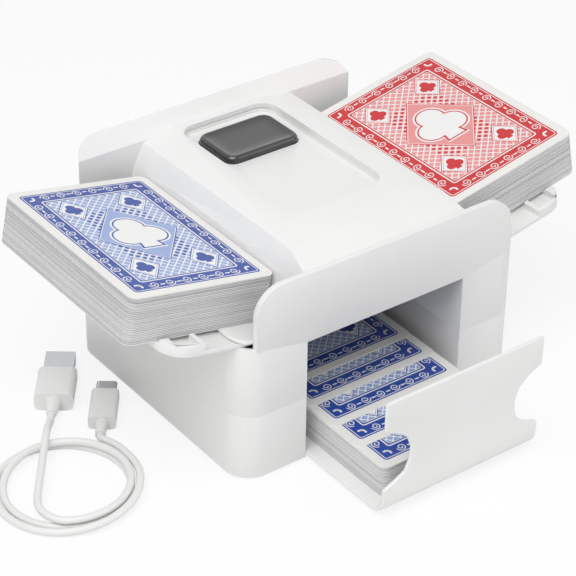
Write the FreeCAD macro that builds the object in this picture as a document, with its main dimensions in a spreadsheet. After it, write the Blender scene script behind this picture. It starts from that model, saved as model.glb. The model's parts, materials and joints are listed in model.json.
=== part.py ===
# Automatic playing-card shuffler with two sloping card trays and a pull-out drawer.
#
# Frame: the drawer faces -Y and pulls out along -Y, the trays lie at -X and +X, +Z is up.
# The origin is the centre of the housing's footprint, on the surface the feet stand on.
# The driving sizes are in the spreadsheet Sizes and what follows from them in Places.
import FreeCAD, Part
import math
import os
import re
import Sketcher

Vector = FreeCAD.Vector
doc = FreeCAD.newDocument("CardShuffler")

SIZES = [
    # housing
    ("bodyWidth", 135.5, "outside width across the trays"),
    ("bodyDepth", 117.5, "outside depth, front to back"),
    ("cornerRadius", 11, "upright corners of the housing"),
    ("wall", 2, "thickness of every moulded wall"),
    ("footHeight", 0.8, "how far the rubber feet stand out"),
    ("footRadius", 5, "radius of a foot"),
    ("footInset", 13, "foot centre in from each side"),
    ("seamHeight", 29, "top of the lower housing"),
    ("bayWidth", 75.5, "drawer opening"),
    ("bayTop", 54.2, "top of the drawer opening"),
    ("notchHeight", 47, "bay wall lowered under the exit rollers"),
    # trays
    ("traySlope", 0.2035, "rise of a tray per mm outwards"),
    ("trayThick", 1.5, "tray plate"),
    ("trayBuild", 3.5, "housing edge to tray surface"),
    ("trayInner", 43.2, "inner end of a tray plate"),
    ("trayWindow", 6.5, "half length of a tyre's window"),
    ("slideGap", 0.15, "gap each side of a sliding piece"),
    # fence, hood and crown
    ("fenceHalf", 61, "half width of the front fence"),
    ("fenceTop", 84, "top of the front fence"),
    ("fenceThick", 2.5, "front fence"),
    ("fenceRadius", 12, "top corners of the fence"),
    ("hoodDepth", 6.2, "back hood, front to back"),
    ("hoodLow", 88.5, "front edge of the hood's top"),
    ("hoodHigh", 96, "back edge of the hood's top"),
    ("hoodShoulder", 13, "how far in the hood's ends start to drop"),
    ("hoodEndDrop", 9, "drop of the hood's top at its ends"),
    ("crownFoot", 45, "half width of the crown at the trays"),
    ("crownWaist", 41.5, "half width where the crown's sides turn in"),
    ("crownWaistHeight", 78, "height where the crown's sides turn in"),
    ("crownShoulder", 36.5, "half width of the crown's top"),
    ("crownEdge", 87.6, "height of the crown at its shoulders"),
    ("crownTop", 90, "height of the crown along its middle"),
    ("crownFlat", 22, "half width of the crown's flat middle"),
    ("crownFront", 83.4, "height of the crown behind the fence"),
    ("crownFall", 24, "length over which the crown falls to the fence"),
    ("feedSlot", 1, "gap under the crown's sides that one card passes"),
    ("panelHalf", 22, "half width of the sunk panel"),
    ("panelFront", -29, "front end of the sunk panel"),
    ("panelBack", 49.8, "back end of the sunk panel"),
    ("panelFloor", 86, "height of the sunk panel's surface"),
    ("panelRadius", 7, "corners of the sunk panel"),
    # start button
    ("buttonWidth", 35, "start button, side to side"),
    ("buttonDepth", 24.5, "start button, front to back"),
    ("buttonY", 31.7, "centre of the start button"),
    ("buttonTop", 88.8, "top of the start button"),
    ("buttonRadius", 4.5, "corners of the start button"),
    ("buttonGap", 0.3, "gap round the start button"),
    ("buttonFlange", 1.5, "flange that holds the button in"),
    ("buttonTravel", 1.5, "how far the button goes down"),
    ("buttonChamfer", 1.2, "rim of the start button"),
    ("padRadius", 2.5, "rubber pads that push the button back"),
    ("padBore", 1.5, "hollow of the rubber pads"),
    ("padPlace", 12, "rubber pads from the middle"),
    ("switchHalf", 3, "half the width of the switch"),
    ("plungerRadius", 1.6, "plunger of the switch"),
    ("switchBoss", 22, "board bosses from the middle"),
    ("switchBoard", 77.6, "top of the small board under the button"),
    ("boardThick", 1.6, "circuit boards"),
    # cards
    ("cardWidth", 63.5, "playing card"),
    ("cardLength", 88.9, "playing card"),
    ("cardThick", 0.3, "one card"),
    ("cardRadius", 3.5, "corner of a card"),
    ("deckThick", 19.2, "deck on a tray"),
    ("deckInner", 42.2, "inner top edge of a deck on a tray"),
    ("deckGap", 0.05, "deck to tray"),
    ("stackThick", 13.8, "stack in the drawer"),
    ("fanStep", 15.3, "each fanned card behind the one below"),
    # drawer
    ("drawerFront", 106.1, "outer face of the drawer front, pulled out"),
    ("drawerTop", 53.2, "top of the drawer front"),
    ("drawerGap", 0.15, "drawer to bay wall"),
    ("drawerThick", 1.6, "drawer floor and front"),
    ("drawerFloor", 1.8, "underside of the drawer"),
    ("drawerLength", 98, "drawer, front to back"),
    ("drawerBend", 7.2, "bend between floor and front"),
    ("drawerBiteLow", 14, "lower end of a finger bite"),
    ("drawerBiteTall", 27, "height of a finger bite"),
    ("drawerBiteDeep", 12.5, "depth of a finger bite"),
    ("stackFront", 98.8, "front of the stack, pulled out"),
    ("railWidth", 2.7, "rails under the drawer"),
    # card rests
    ("restOut", 95, "outer end of a pulled-out rest"),
    ("restIn", 54, "inner end of a rest's arms"),
    ("restBar", 77, "inner edge of a rest's outer bar"),
    ("restRim", 80, "start of a rest's raised rim"),
    ("restFront", 54, "front edge of a rest"),
    ("restBack", 39, "back edge of a rest"),
    ("restArm", 27, "inner side of a rest's arms"),
    ("restThick", 1.7, "rest plate"),
    ("restRimHeight", 3, "raised rim above the rest plate"),
    ("restRimEnd", 45.5, "inner end of the raised rim at the front corner"),
    ("restRadius", 10, "outer front corner of a rest"),
    # rollers, shafts and gears
    ("feedRadius", 10.5, "feed tyre"),
    ("feedReach", 51, "where a feed tyre meets the cards"),
    ("feedGap", 0.2, "feed tyre to the cards"),
    ("exitRadius", 4, "exit tyre"),
    ("pinchRadius", 3.5, "pinch roller"),
    ("pinchPlace", 24, "ribs that hold a pinch roller"),
    ("nipReach", 38, "where the exit rollers grip a card"),
    ("nipGap", 0.15, "each exit roller to the card's middle"),
    ("tyreWidth", 12, "all tyres"),
    ("tyrePlace", 15, "tyre centre from the middle"),
    ("shaftRadius", 1.5, "roller shafts"),
    ("runningGap", 0.05, "radial gap of a shaft in its bush"),
    ("bushRadius", 2.6, "outside of a bush"),
    ("frameThick", 2, "roller frames"),
    ("frontFrame", -26, "front face of the front roller frame"),
    ("rearFrame", 42, "front face of the rear roller frame"),
    ("gearModule", 0.6, "all gears"),
    ("gearWidth", 2.6, "all gears"),
    ("gearGap", 0.5, "between the two gear planes"),
    ("feedTeeth", 20, ""),
    ("exitTeeth", 16, ""),
    ("idlerTeeth", 12, ""),
    ("smallTeeth", 12, "small wheel of the reduction gear"),
    ("largeTeeth", 36, "large wheel of the reduction gear"),
    ("pinionTeeth", 10, ""),
    # motors and power
    ("motorRadius", 10, "motor can"),
    ("motorFlat", 15, "motor can across its flats"),
    ("motorLength", 25, "motor can"),
    ("motorShaft", 1, "radius of the motor's shaft"),
    ("batteryRadius", 7, "lithium cell"),
    ("batteryLength", 50, "lithium cell"),
    ("batteryFront", -50, "front end of the cell"),
    ("mainBoard", 5.5, "underside of the main board"),
    ("boardFront", -20, "front end of the main board"),
    ("boardPost", 9, "board posts each side of the pillar's middle"),
    ("socketWidth", 9, "charging socket"),
    ("socketHeight", 3.2, "charging socket"),
    ("socketLength", 7.3, "charging socket"),
    # fasteners
    ("screwRadius", 1.05, "screw shank"),
    ("screwHead", 1.9, "screw head"),
    ("bossRadius", 2.2, "screw bosses"),
    ("bossLength", 14, "screw bosses of the middle housing"),
    ("screwInX", 6.9, "corner screws in from the side"),
    ("screwInY", 5.5, "corner screws in from front and back"),
    # charging cable
    ("cordDiameter", 3, "charging cable"),
    ("coilOuter", 29, "outside radius of the coil"),
    ("coilInner", 22.5, "inside radius of the coil"),
    ("coilHeight", 6, "two layers of cable"),
    ("coilX", -122, "middle of the coil"),
    ("coilY", -22, "middle of the coil"),
    ("coilRound", 1.8, "rounding of the coil's edges"),
    ("plugAside", 10, "each plug from the coil's middle line"),
    ("plugStart", 42, "start of the larger plug from the coil's middle"),
    ("smallStart", 30, "start of the smaller plug from the coil's middle"),
    ("reliefLength", 8, "strain relief of both plugs"),
    ("gripLength", 19, "grip of both plugs"),
    ("plugShellLength", 13, "metal shell of the larger plug"),
    ("smallShellLength", 7.5, "metal shell of the smaller plug"),
    ("plugWall", 0.4, "wall of both metal shells"),
    ("plugShellWide", 12, "metal shell of the larger plug"),
    ("plugShellTall", 4.5, "metal shell of the larger plug"),
    ("plugGripWide", 15.5, "grip of the larger plug"),
    ("plugGripTall", 8, "grip of the larger plug"),
    ("smallShellWide", 8.3, "metal shell of the smaller plug"),
    ("smallShellTall", 2.5, "metal shell of the smaller plug"),
    ("smallGripWide", 11, "grip of the smaller plug"),
    ("smallGripTall", 6.2, "grip of the smaller plug"),
]

# What follows from the sizes. Each line may use the names above it.
PLACES = [
    ("half", "bodyWidth / 2"),
    ("cavityRadius", "cornerRadius - wall"),
    ("deep", "bodyDepth / 2"),
    ("bay", "bayWidth / 2"),
    ("cosine", "1 / sqrt(1 + traySlope * traySlope)"),
    ("sine", "traySlope * cosine"),
    ("trayZ", "bayTop + trayBuild"),
    ("seamEnd", "bayTop + (half - bay) * traySlope"),
    ("seamFence", "bayTop + (fenceHalf - bay) * traySlope"),
    ("fenceBack", "fenceThick - deep"),
    ("hoodFront", "deep - hoodDepth"),
    ("deckFoot", "deckInner + (deckThick + deckGap) * sine"),
    ("deckFootZ", "trayZ + (deckFoot - bay) * traySlope + deckGap * cosine"),
    ("feedX", "feedReach + (feedRadius + feedGap) * sine"),
    ("feedZ", "trayZ + (feedReach - bay) * traySlope - (feedRadius + feedGap) * cosine"),
    ("nipZ", "trayZ + (nipReach - bay) * traySlope"),
    ("exitX", "nipReach + (exitRadius + nipGap) * sine"),
    ("exitZ", "nipZ - (exitRadius + nipGap) * cosine"),
    ("pinchX", "nipReach - (pinchRadius + nipGap) * sine"),
    ("pinchZ", "nipZ + (pinchRadius + nipGap) * cosine"),
    ("buttonLow", "panelFloor - wall - buttonFlange - slideGap / 3"),
    ("shaftBack", "rearFrame + frameThick + gearGap + gearWidth"),
    ("planeOne", "rearFrame + frameThick + gearGap"),
    ("planeTwo", "shaftBack + gearGap"),
    ("reductionX", "feedX"),
    ("reductionZ", "feedZ - (feedTeeth + smallTeeth) * gearModule / 2"),
    ("motorX", "feedX"),
    ("motorZ", "reductionZ - (largeTeeth + pinionTeeth) * gearModule / 2"),
    ("meshFeed", "(feedTeeth + idlerTeeth) * gearModule / 2"),
    ("meshExit", "(exitTeeth + idlerTeeth) * gearModule / 2"),
    ("rollerSpan", "sqrt((feedX - exitX) * (feedX - exitX) + (feedZ - exitZ) * (feedZ - exitZ))"),
    ("idlerAlong", "(meshFeed * meshFeed - meshExit * meshExit + rollerSpan * rollerSpan) / (2 * rollerSpan)"),
    ("idlerAside", "sqrt(meshFeed * meshFeed - idlerAlong * idlerAlong)"),
    ("idlerX", "feedX - (idlerAlong * (feedX - exitX) + idlerAside * (exitZ - feedZ)) / rollerSpan"),
    ("idlerZ", "feedZ + (idlerAlong * (exitZ - feedZ) - idlerAside * (feedX - exitX)) / rollerSpan"),
    ("bossX", "half - screwInX"),
    ("bossY", "deep - screwInY"),
    ("drawerBack", "drawerLength - drawerFront"),
    ("stackZ", "drawerFloor + drawerThick"),
    ("restTop", "-trayThick - slideGap"),
    ("boardMiddle", "(bay + half) / 2"),
]

sheet = doc.addObject("Spreadsheet::Sheet", "Sizes")
for row, (name, size, note) in enumerate(SIZES, start=1):
    sheet.set(f"A{row}", name)
    sheet.set(f"B{row}", str(size))
    sheet.set(f"C{row}", note)
    sheet.setAlias(f"B{row}", name)
doc.recompute()

size_names = {name for name, size, note in SIZES}
place_names = {name for name, formula in PLACES}
places = doc.addObject("App::VarSet", "Places")


def link(text):
    """A formula in the short names as an expression that FreeCAD can bind."""
    def full(match):
        word = match.group(0)
        if word in size_names:
            return f"<<Sizes>>.{word}"
        if word in place_names:
            return f"<<Places>>.{word}"
        return word
    return re.sub(r"[A-Za-z]\w*", full, str(text))


def in_sizes(formula, known):
    """The same formula with every earlier place written out in sizes."""
    return re.sub(r"[A-Za-z]\w*", lambda word: f"({known[word.group(0)]})" if word.group(0) in known
                  else word.group(0), formula)


written_out = {}
for name, formula in PLACES:
    written_out[name] = in_sizes(formula, written_out)
    places.addProperty("App::PropertyFloat", name)
    places.setExpression(name, link(written_out[name]))
doc.recompute()


def size(name):
    """The present value of one size or place."""
    return float(sheet.get(name)) if name in size_names else float(getattr(places, name))


def bind(thing, **formulas):
    """Bind properties to formulas; a double underscore in a name stands for a dot."""
    for name, formula in formulas.items():
        thing.setExpression(name.replace("__", "."), link(formula))


# ---------------------------------------------------------------- building blocks

def block(name, x0, x1, y0, y1, z0, z1):
    """A box between two corners given as formulas."""
    box = doc.addObject("Part::Box", name)
    bind(box, Length=f"({x1}) - ({x0})", Width=f"({y1}) - ({y0})", Height=f"({z1}) - ({z0})",
         Placement__Base__x=x0, Placement__Base__y=y0, Placement__Base__z=z0)
    return box


def side_block(name, side, x0, x1, y0, y1, z0, z1):
    """The same on the right (side 1), or its mirror image on the left (side -1)."""
    if side > 0:
        return block(name, x0, x1, y0, y1, z0, z1)
    return block(name, f"-({x1})", f"-({x0})", y0, y1, z0, z1)


def rod(name, radius, length, x, y, z, along="Z"):
    """A cylinder that starts at x, y, z and runs along +Y or +Z."""
    cylinder = doc.addObject("Part::Cylinder", name)
    bind(cylinder, Radius=radius, Height=length,
         Placement__Base__x=x, Placement__Base__y=y, Placement__Base__z=z)
    if along == "Y":
        cylinder.Placement.Rotation = FreeCAD.Rotation(Vector(1, 0, 0), -90)
    return cylinder


def cut(name, base, *tools):
    result = doc.addObject("Part::Cut", name)
    result.Base = base
    result.Tool = tools[0] if len(tools) == 1 else join(name + "_tools", *tools)
    return result


def join(name, *things):
    result = doc.addObject("Part::MultiFuse", name)
    result.Shapes = list(things)
    return result


def overlap(name, *things):
    result = doc.addObject("Part::MultiCommon", name)
    result.Shapes = list(things)
    return result


def upright_edges(shape, test=None):
    """Numbers of the straight edges along Z whose middle passes the test."""
    found = []
    for number, edge in enumerate(shape.Edges, start=1):
        box = edge.BoundBox
        if box.ZLength > 0.01 and box.XLength < 0.001 and box.YLength < 0.001:
            if test is None or test(box.Center):
                found.append(number)
    return found


def round_uprights(name, base, radius, test=None):
    """Round the upright edges of a Part object by a size of the sheet."""
    doc.recompute()
    result = doc.addObject("Part::Fillet", name)
    result.Base = base
    result.Edges = [(number, size(radius), size(radius)) for number in upright_edges(base.Shape, test)]
    return result


def new_body(name):
    return doc.addObject("PartDesign::Body", name)


def outline(body, name, plane, points, offset=None):
    """A closed sketch of straight lines on a plane of the body; the points are formulas."""
    sketch = body.newObject("Sketcher::SketchObject", name)
    support = [feature for feature in body.Origin.OriginFeatures if feature.Role == plane][0]
    sketch.AttachmentSupport = [(support, "")]
    sketch.MapMode = "FlatFace"
    if offset is not None:
        bind(sketch, AttachmentOffset__Base__z=offset)
    count = len(points)
    first = [Vector(50 * math.cos(2 * math.pi * index / count), 50 * math.sin(2 * math.pi * index / count), 0)
             for index in range(count)]
    for index in range(count):
        sketch.addGeometry(Part.LineSegment(first[index], first[(index + 1) % count]), False)
    for index in range(count):
        sketch.addConstraint(Sketcher.Constraint("Coincident", index, 2, (index + 1) % count, 1))
    for index, (x, y) in enumerate(points):
        for kind, value, formula in (("DistanceX", first[index].x, x), ("DistanceY", first[index].y, y)):
            number = sketch.addConstraint(Sketcher.Constraint(kind, -1, 1, index, 1, value))
            sketch.setExpression(f"Constraints[{number}]", link(formula))
    return sketch


def rectangle(body, name, plane, x0, x1, y0, y1, offset=None):
    return outline(body, name, plane, [(x0, y0), (x1, y0), (x1, y1), (x0, y1)], offset)


def pad(body, name, sketch, length, midplane=False, backwards=False):
    feature = body.newObject("PartDesign::Pad", name)
    feature.Profile = sketch
    feature.Midplane = midplane
    feature.Reversed = backwards
    bind(feature, Length=length)
    return feature


def pocket_through(body, name, sketch):
    """Cut a sketch through the whole body, both ways, and make sure it removed something."""
    doc.recompute()
    before = body.Shape.Volume
    feature = body.newObject("PartDesign::Pocket", name)
    feature.Profile = sketch
    feature.Type = "ThroughAll"
    feature.Midplane = True
    doc.recompute()
    if body.Shape.Volume > before - 0.01:
        raise RuntimeError(f"{name} cuts nothing")
    return feature


def fillet_where(body, name, radius, test):
    """Round the edges of the body's last feature whose bounding box passes the test."""
    doc.recompute()
    last = body.Tip
    edges = [f"Edge{number}" for number, edge in enumerate(last.Shape.Edges, start=1)
             if test(edge.BoundBox)]
    feature = body.newObject("PartDesign::Fillet", name)
    feature.Base = (last, edges)
    bind(feature, Radius=radius)
    return feature


def is_upright(box):
    return box.ZLength > 0.01 and box.XLength < 0.001 and box.YLength < 0.001


def lay_on_tray(body, side, x, z):
    """Tilt a body to the tray's slope about a point in the middle plane of the cards."""
    bind(body, Placement__Base__x=f"{side} * ({x})", Placement__Base__z=z,
         Placement__Rotation__Axis__y="1", Placement__Rotation__Axis__z="0",
         Placement__Rotation__Angle=f"{-side} * atan(traySlope)")


pieces = {}


def piece(name, thing):
    """Register a finished sub-part under the name of its node."""
    thing.Label = name
    pieces[name] = thing
    return thing


def sides():
    return (("right", 1), ("left", -1))


# ---------------------------------------------------------------- housings

def seam_wedge():
    """Everything above the V-shaped top edge of the middle housing."""
    body = new_body("seamWedge")
    sketch = outline(body, "seamWedgeLine", "XZ_Plane", [
        ("-half - 1", "seamEnd + traySlope"), ("-bay", "bayTop"), ("bay", "bayTop"),
        ("half + 1", "seamEnd + traySlope"), ("half + 1", "hoodHigh"), ("-half - 1", "hoodHigh")])
    pad(body, "seamWedgePad", sketch, "bodyDepth + 2", midplane=True)
    return body


def cavity(name, side, bottom, top):
    """The hollow inside one pillar, its outer corners parallel to the housing's."""
    room = side_block(name + "Box", side, "bay + wall", "half - wall", "wall - deep", "deep - wall",
                      bottom, top)
    centre = size("boardMiddle")
    return round_uprights(name, room, "cavityRadius", lambda spot: abs(spot.x) > centre)


def corner_rods(name, radius, bottom, top):
    """One upright rod at each of the four screw places, in the pillars' outer corners."""
    rods = []
    for side_name, side in sides():
        for end in (-1, 1):
            tag = f"{name}_{side_name}_{'back' if end > 0 else 'front'}"
            rods.append(rod(tag, radius, f"({top}) - ({bottom})", f"{side} * bossX", f"{end} * bossY", bottom))
    return rods


def outer_shell(name, bottom, top):
    solid = block(name + "Box", "-half", "half", "-deep", "deep", bottom, top)
    return round_uprights(name, solid, "cornerRadius")


def base_housing():
    outer = outer_shell("baseOuter", "footHeight", "seamHeight")
    bay = block("baseBay", "-bay", "bay", "-deep - 1", "deep - wall", "footHeight - 1", "seamHeight + 1")
    right = cavity("baseRoomRight", 1, "footHeight + wall", "seamHeight + 1")
    left = cavity("baseRoomLeft", -1, "footHeight + wall", "seamHeight + 1")
    shell = cut("baseShell", outer, bay, right, left)
    additions = corner_rods("baseBoss", "bossRadius", "footHeight + wall / 2", "seamHeight")
    for side_name, side in sides():
        additions.append(side_block("lowerRail_" + side_name, side, "bay - railWidth", "bay + wall / 2",
                                    "2 * wall - deep", "deep - wall / 2",
                                    "footHeight", "drawerFloor - slideGap"))
        additions.append(side_block("upperRail_" + side_name, side, "bay - railWidth / 2", "bay + wall / 2",
                                    "cornerRadius - deep", "deep - wall / 2",
                                    "drawerFloor + drawerThick + slideGap",
                                    "drawerFloor + 2 * drawerThick + slideGap"))
    for number, spot in enumerate(("batteryFront + 2 * wall", "batteryFront + batteryLength - 3 * wall")):
        cradle = side_block(f"cradleBlock{number}", -1, "bay + wall / 2", "half - wall / 2", spot,
                            f"{spot} + wall", "footHeight + wall / 2", "footHeight + wall + batteryRadius")
        hollow = rod(f"cradleHollow{number}", "batteryRadius + runningGap", "bodyDepth", "-boardMiddle", "-deep",
                     "footHeight + wall + batteryRadius", "Y")
        additions.append(cut(f"cradle{number}", cradle, hollow))
    for number, (x, y) in enumerate(((-1, "boardFront + bossRadius"), (1, "boardFront + bossRadius"),
                                     (-1, "planeOne"), (1, "planeOne"))):
        additions.append(rod(f"boardPost{number}", "0.7 * bossRadius", "mainBoard - footHeight - wall / 2",
                             f"boardMiddle + {x} * boardPost", y, "footHeight + wall / 2"))
    whole = join("baseWhole", shell, *additions)
    socket = block("socketHole", "boardMiddle - socketWidth / 2 - slideGap",
                   "boardMiddle + socketWidth / 2 + slideGap", "deep - 2 * wall", "deep + 1",
                   "mainBoard + boardThick - slideGap", "mainBoard + boardThick + socketHeight + slideGap")
    holes = corner_rods("baseHole", "screwRadius", "0", "seamHeight + 1")
    heads = corner_rods("baseHead", "screwHead", "0", "footHeight + 2 * wall")
    return piece("base_housing", cut("baseHousing", whole, socket, *holes, *heads))


def middle_housing():
    outer = outer_shell("middleOuter", "seamHeight", "hoodLow")
    bay = block("middleBay", "-bay", "bay", "-deep - 1", "deep - wall", "seamHeight - 1", "hoodHigh")
    right = cavity("middleRoomRight", 1, "seamHeight - 1", "hoodHigh")
    left = cavity("middleRoomLeft", -1, "seamHeight - 1", "hoodHigh")
    notches = [side_block("notch_" + side_name, side, "bay - 1", "bay + wall + 1",
                          "frontFrame - 1", "planeTwo", "notchHeight", "hoodHigh")
               for side_name, side in sides()]
    shell = cut("middleShell", outer, bay, right, left, seam_wedge(), *notches)
    bosses = corner_rods("middleBoss", "bossRadius", "seamHeight", "seamHeight + bossLength")
    whole = join("middleWhole", shell, *bosses)
    holes = corner_rods("middleHole", "screwRadius", "seamHeight - 1", "seamHeight + bossLength - wall")
    return piece("middle_housing", cut("middleHousing", whole, *holes))


def corner_screws():
    screws = []
    for side_name, side in sides():
        for end in (-1, 1):
            tag = f"{side_name}_{'back' if end > 0 else 'front'}"
            place = (f"{side} * bossX", f"{end} * bossY")
            head = rod("screwHead_" + tag, "screwHead - slideGap", "screwHead * 0.7", *place,
                       "footHeight + 2 * wall - screwHead * 0.7")
            shank = rod("screwShank_" + tag, "screwRadius",
                        "seamHeight + bossLength - 2 * wall - footHeight - 2 * wall", *place,
                        "footHeight + 2 * wall")
            screws.append(join("screw_" + tag, head, shank))
    group = doc.addObject("Part::Compound", "housingScrews")
    group.Links = screws
    return piece("housing_screws", group)


def rubber_feet():
    feet = [rod(f"foot{number}", "footRadius", "footHeight", f"{x} * (half - footInset)",
                f"{y} * (deep - footInset)", "0")
            for number, (x, y) in enumerate(((-1, -1), (1, -1), (1, 1), (-1, 1)), start=1)]
    group = doc.addObject("Part::Compound", "rubberFeet")
    group.Links = feet
    return piece("rubber_feet", group)


# ---------------------------------------------------------------- trays, rests and decks

def card_tray(side_name, side):
    """A sloping plate with a skirt round its outer end and windows for the feed tyres."""
    body = new_body("tray_" + side_name)
    inner, outer = "(trayInner - bay)", "(half - bay) / cosine"
    plate = rectangle(body, f"trayPlan_{side_name}", "XY_Plane", f"{side} * {inner}", f"{side} * {outer}",
                      "fenceBack + slideGap", "hoodFront - slideGap")
    pad(body, f"trayPlate_{side_name}", plate, "trayThick", backwards=True)
    windows = []
    for end in (-1, 1):
        middle = f"(feedReach - bay) / cosine"
        windows.append(rectangle(
            body, f"trayWindow_{side_name}_{'back' if end > 0 else 'front'}", "XY_Plane",
            f"{side} * ({middle} - trayWindow)", f"{side} * ({middle} + trayWindow)",
            f"{end} * tyrePlace - tyreWidth / 2 - 1", f"{end} * tyrePlace + tyreWidth / 2 + 1"))
    for number, window in enumerate(windows):
        pocket_through(body, f"trayCut_{side_name}_{number}", window)
    lay_on_tray(body, side, "bay", "trayZ")
    skirt = side_block(f"skirt_{side_name}", side, "bay + wall", "half", "fenceBack + slideGap",
                       "hoodFront - slideGap", "bayTop", "hoodLow")
    room = side_block(f"skirtRoom_{side_name}", side, "bay", "half - wall", "fenceBack - 1", "deep",
                      "seamHeight", "hoodHigh")
    slot = side_block(f"skirtSlot_{side_name}", side, "bay", "half + 1", "-restFront - slideGap",
                      "restBack + slideGap", "seamHeight", "hoodHigh")
    build = new_body(f"skirtBuild_{side_name}")
    band = outline(build, f"skirtLine_{side_name}", "XZ_Plane", [
        (f"{side} * bay", "bayTop"), (f"{side} * (half + 1)", "seamEnd + traySlope"),
        (f"{side} * (half + 1)", "seamEnd + traySlope + trayBuild - trayThick"),
        (f"{side} * bay", "bayTop + trayBuild - trayThick")])
    pad(build, f"skirtPad_{side_name}", band, "bodyDepth", midplane=True)
    edge = overlap(f"skirtEdge_{side_name}", cut(f"skirtCut_{side_name}", skirt, room, slot), build)
    tray = join(f"trayWhole_{side_name}", body, edge)
    limit = outer_shell(f"trayLimit_{side_name}", "seamHeight", "hoodHigh")
    return piece(f"{side_name}_card_tray", overlap(f"trayTrim_{side_name}", tray, limit))


def card_rest(side_name, side):
    """A pull-out shelf: an outer bar on two arms, with a raised rim round its outer end."""
    body = new_body("rest_" + side_name)
    along = lambda name: f"{side} * ({name} - bay) / cosine"
    plan = outline(body, f"restPlan_{side_name}", "XY_Plane", [
        (along("restIn"), "-restFront"), (along("restOut"), "-restFront"),
        (along("restOut"), "restBack"), (along("restIn"), "restBack"),
        (along("restIn"), "restArm"), (along("restBar"), "restArm"),
        (along("restBar"), "-restArm"), (along("restIn"), "-restArm")], offset="restTop")
    pad(body, f"restPlate_{side_name}", plan, "restThick", backwards=True)
    rim = rectangle(body, f"restRim_{side_name}", "XY_Plane", along("restRim"), along("restOut"),
                    "-restFront", "-restRimEnd", offset="restTop")
    pad(body, f"restRimPad_{side_name}", rim, "restRimHeight")
    end = rectangle(body, f"restEnd_{side_name}", "XY_Plane", along("restOut - 2 * wall"),
                    along("restOut"), "-restFront", "restBack", offset="restTop")
    pad(body, f"restEndPad_{side_name}", end, "-restTop - slideGap")
    far = size("restOut") - size("bay")
    front = -size("restFront")
    fillet_where(body, f"restCorner_{side_name}", "restRadius", lambda box: is_upright(box)
                 and abs(box.Center.y - front) < 1 and abs(abs(box.Center.x) - far) < 3)
    hollow = rectangle(body, f"restHollow_{side_name}", "XY_Plane", along("restRim + wall"),
                       along("restOut - 2 * wall"), "wall - restFront", "-restRimEnd + 1", offset="restTop")
    pocket = body.newObject("PartDesign::Pocket", f"restPocket_{side_name}")
    pocket.Profile = hollow
    pocket.Reversed = True
    bind(pocket, Length="restRimHeight + 1")
    lay_on_tray(body, side, "bay", "trayZ")
    return piece(f"{side_name}_card_rest", body)


def rounded_cards(name, x0, x1, y0, y1, thickness):
    """A pile of cards as one slab with the cards' rounded corners."""
    body = new_body(name)
    plan = rectangle(body, name + "Plan", "XY_Plane", x0, x1, y0, y1)
    pad(body, name + "Pad", plan, thickness)
    fillet_where(body, name + "Corners", "cardRadius", is_upright)
    return body


def tray_deck(side_name, side):
    deck = rounded_cards("deck_" + side_name, "0", f"{side} * cardWidth",
                         "-cardLength / 2", "cardLength / 2", "deckThick")
    lay_on_tray(deck, side, "deckFoot", "deckFootZ")
    return piece(f"{side_name}_card_deck", deck)


def drawer_cards():
    stack = rounded_cards("stack", "-cardWidth / 2", "cardWidth / 2", "0", "cardLength", "stackThick")
    bind(stack, Placement__Base__y="-stackFront", Placement__Base__z="stackZ")
    piece("drawer_card_stack", stack)
    for number in (1, 2, 3, 4):
        card = rounded_cards(f"fan{number}", "-cardWidth / 2", "cardWidth / 2", "0", "cardLength", "cardThick")
        bind(card, Placement__Base__y=f"{number} * fanStep - stackFront",
             Placement__Base__z=f"stackZ + stackThick + {number - 1} * cardThick")
        piece(f"fanned_card_{number}", card)


# ---------------------------------------------------------------- top cover and button

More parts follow.
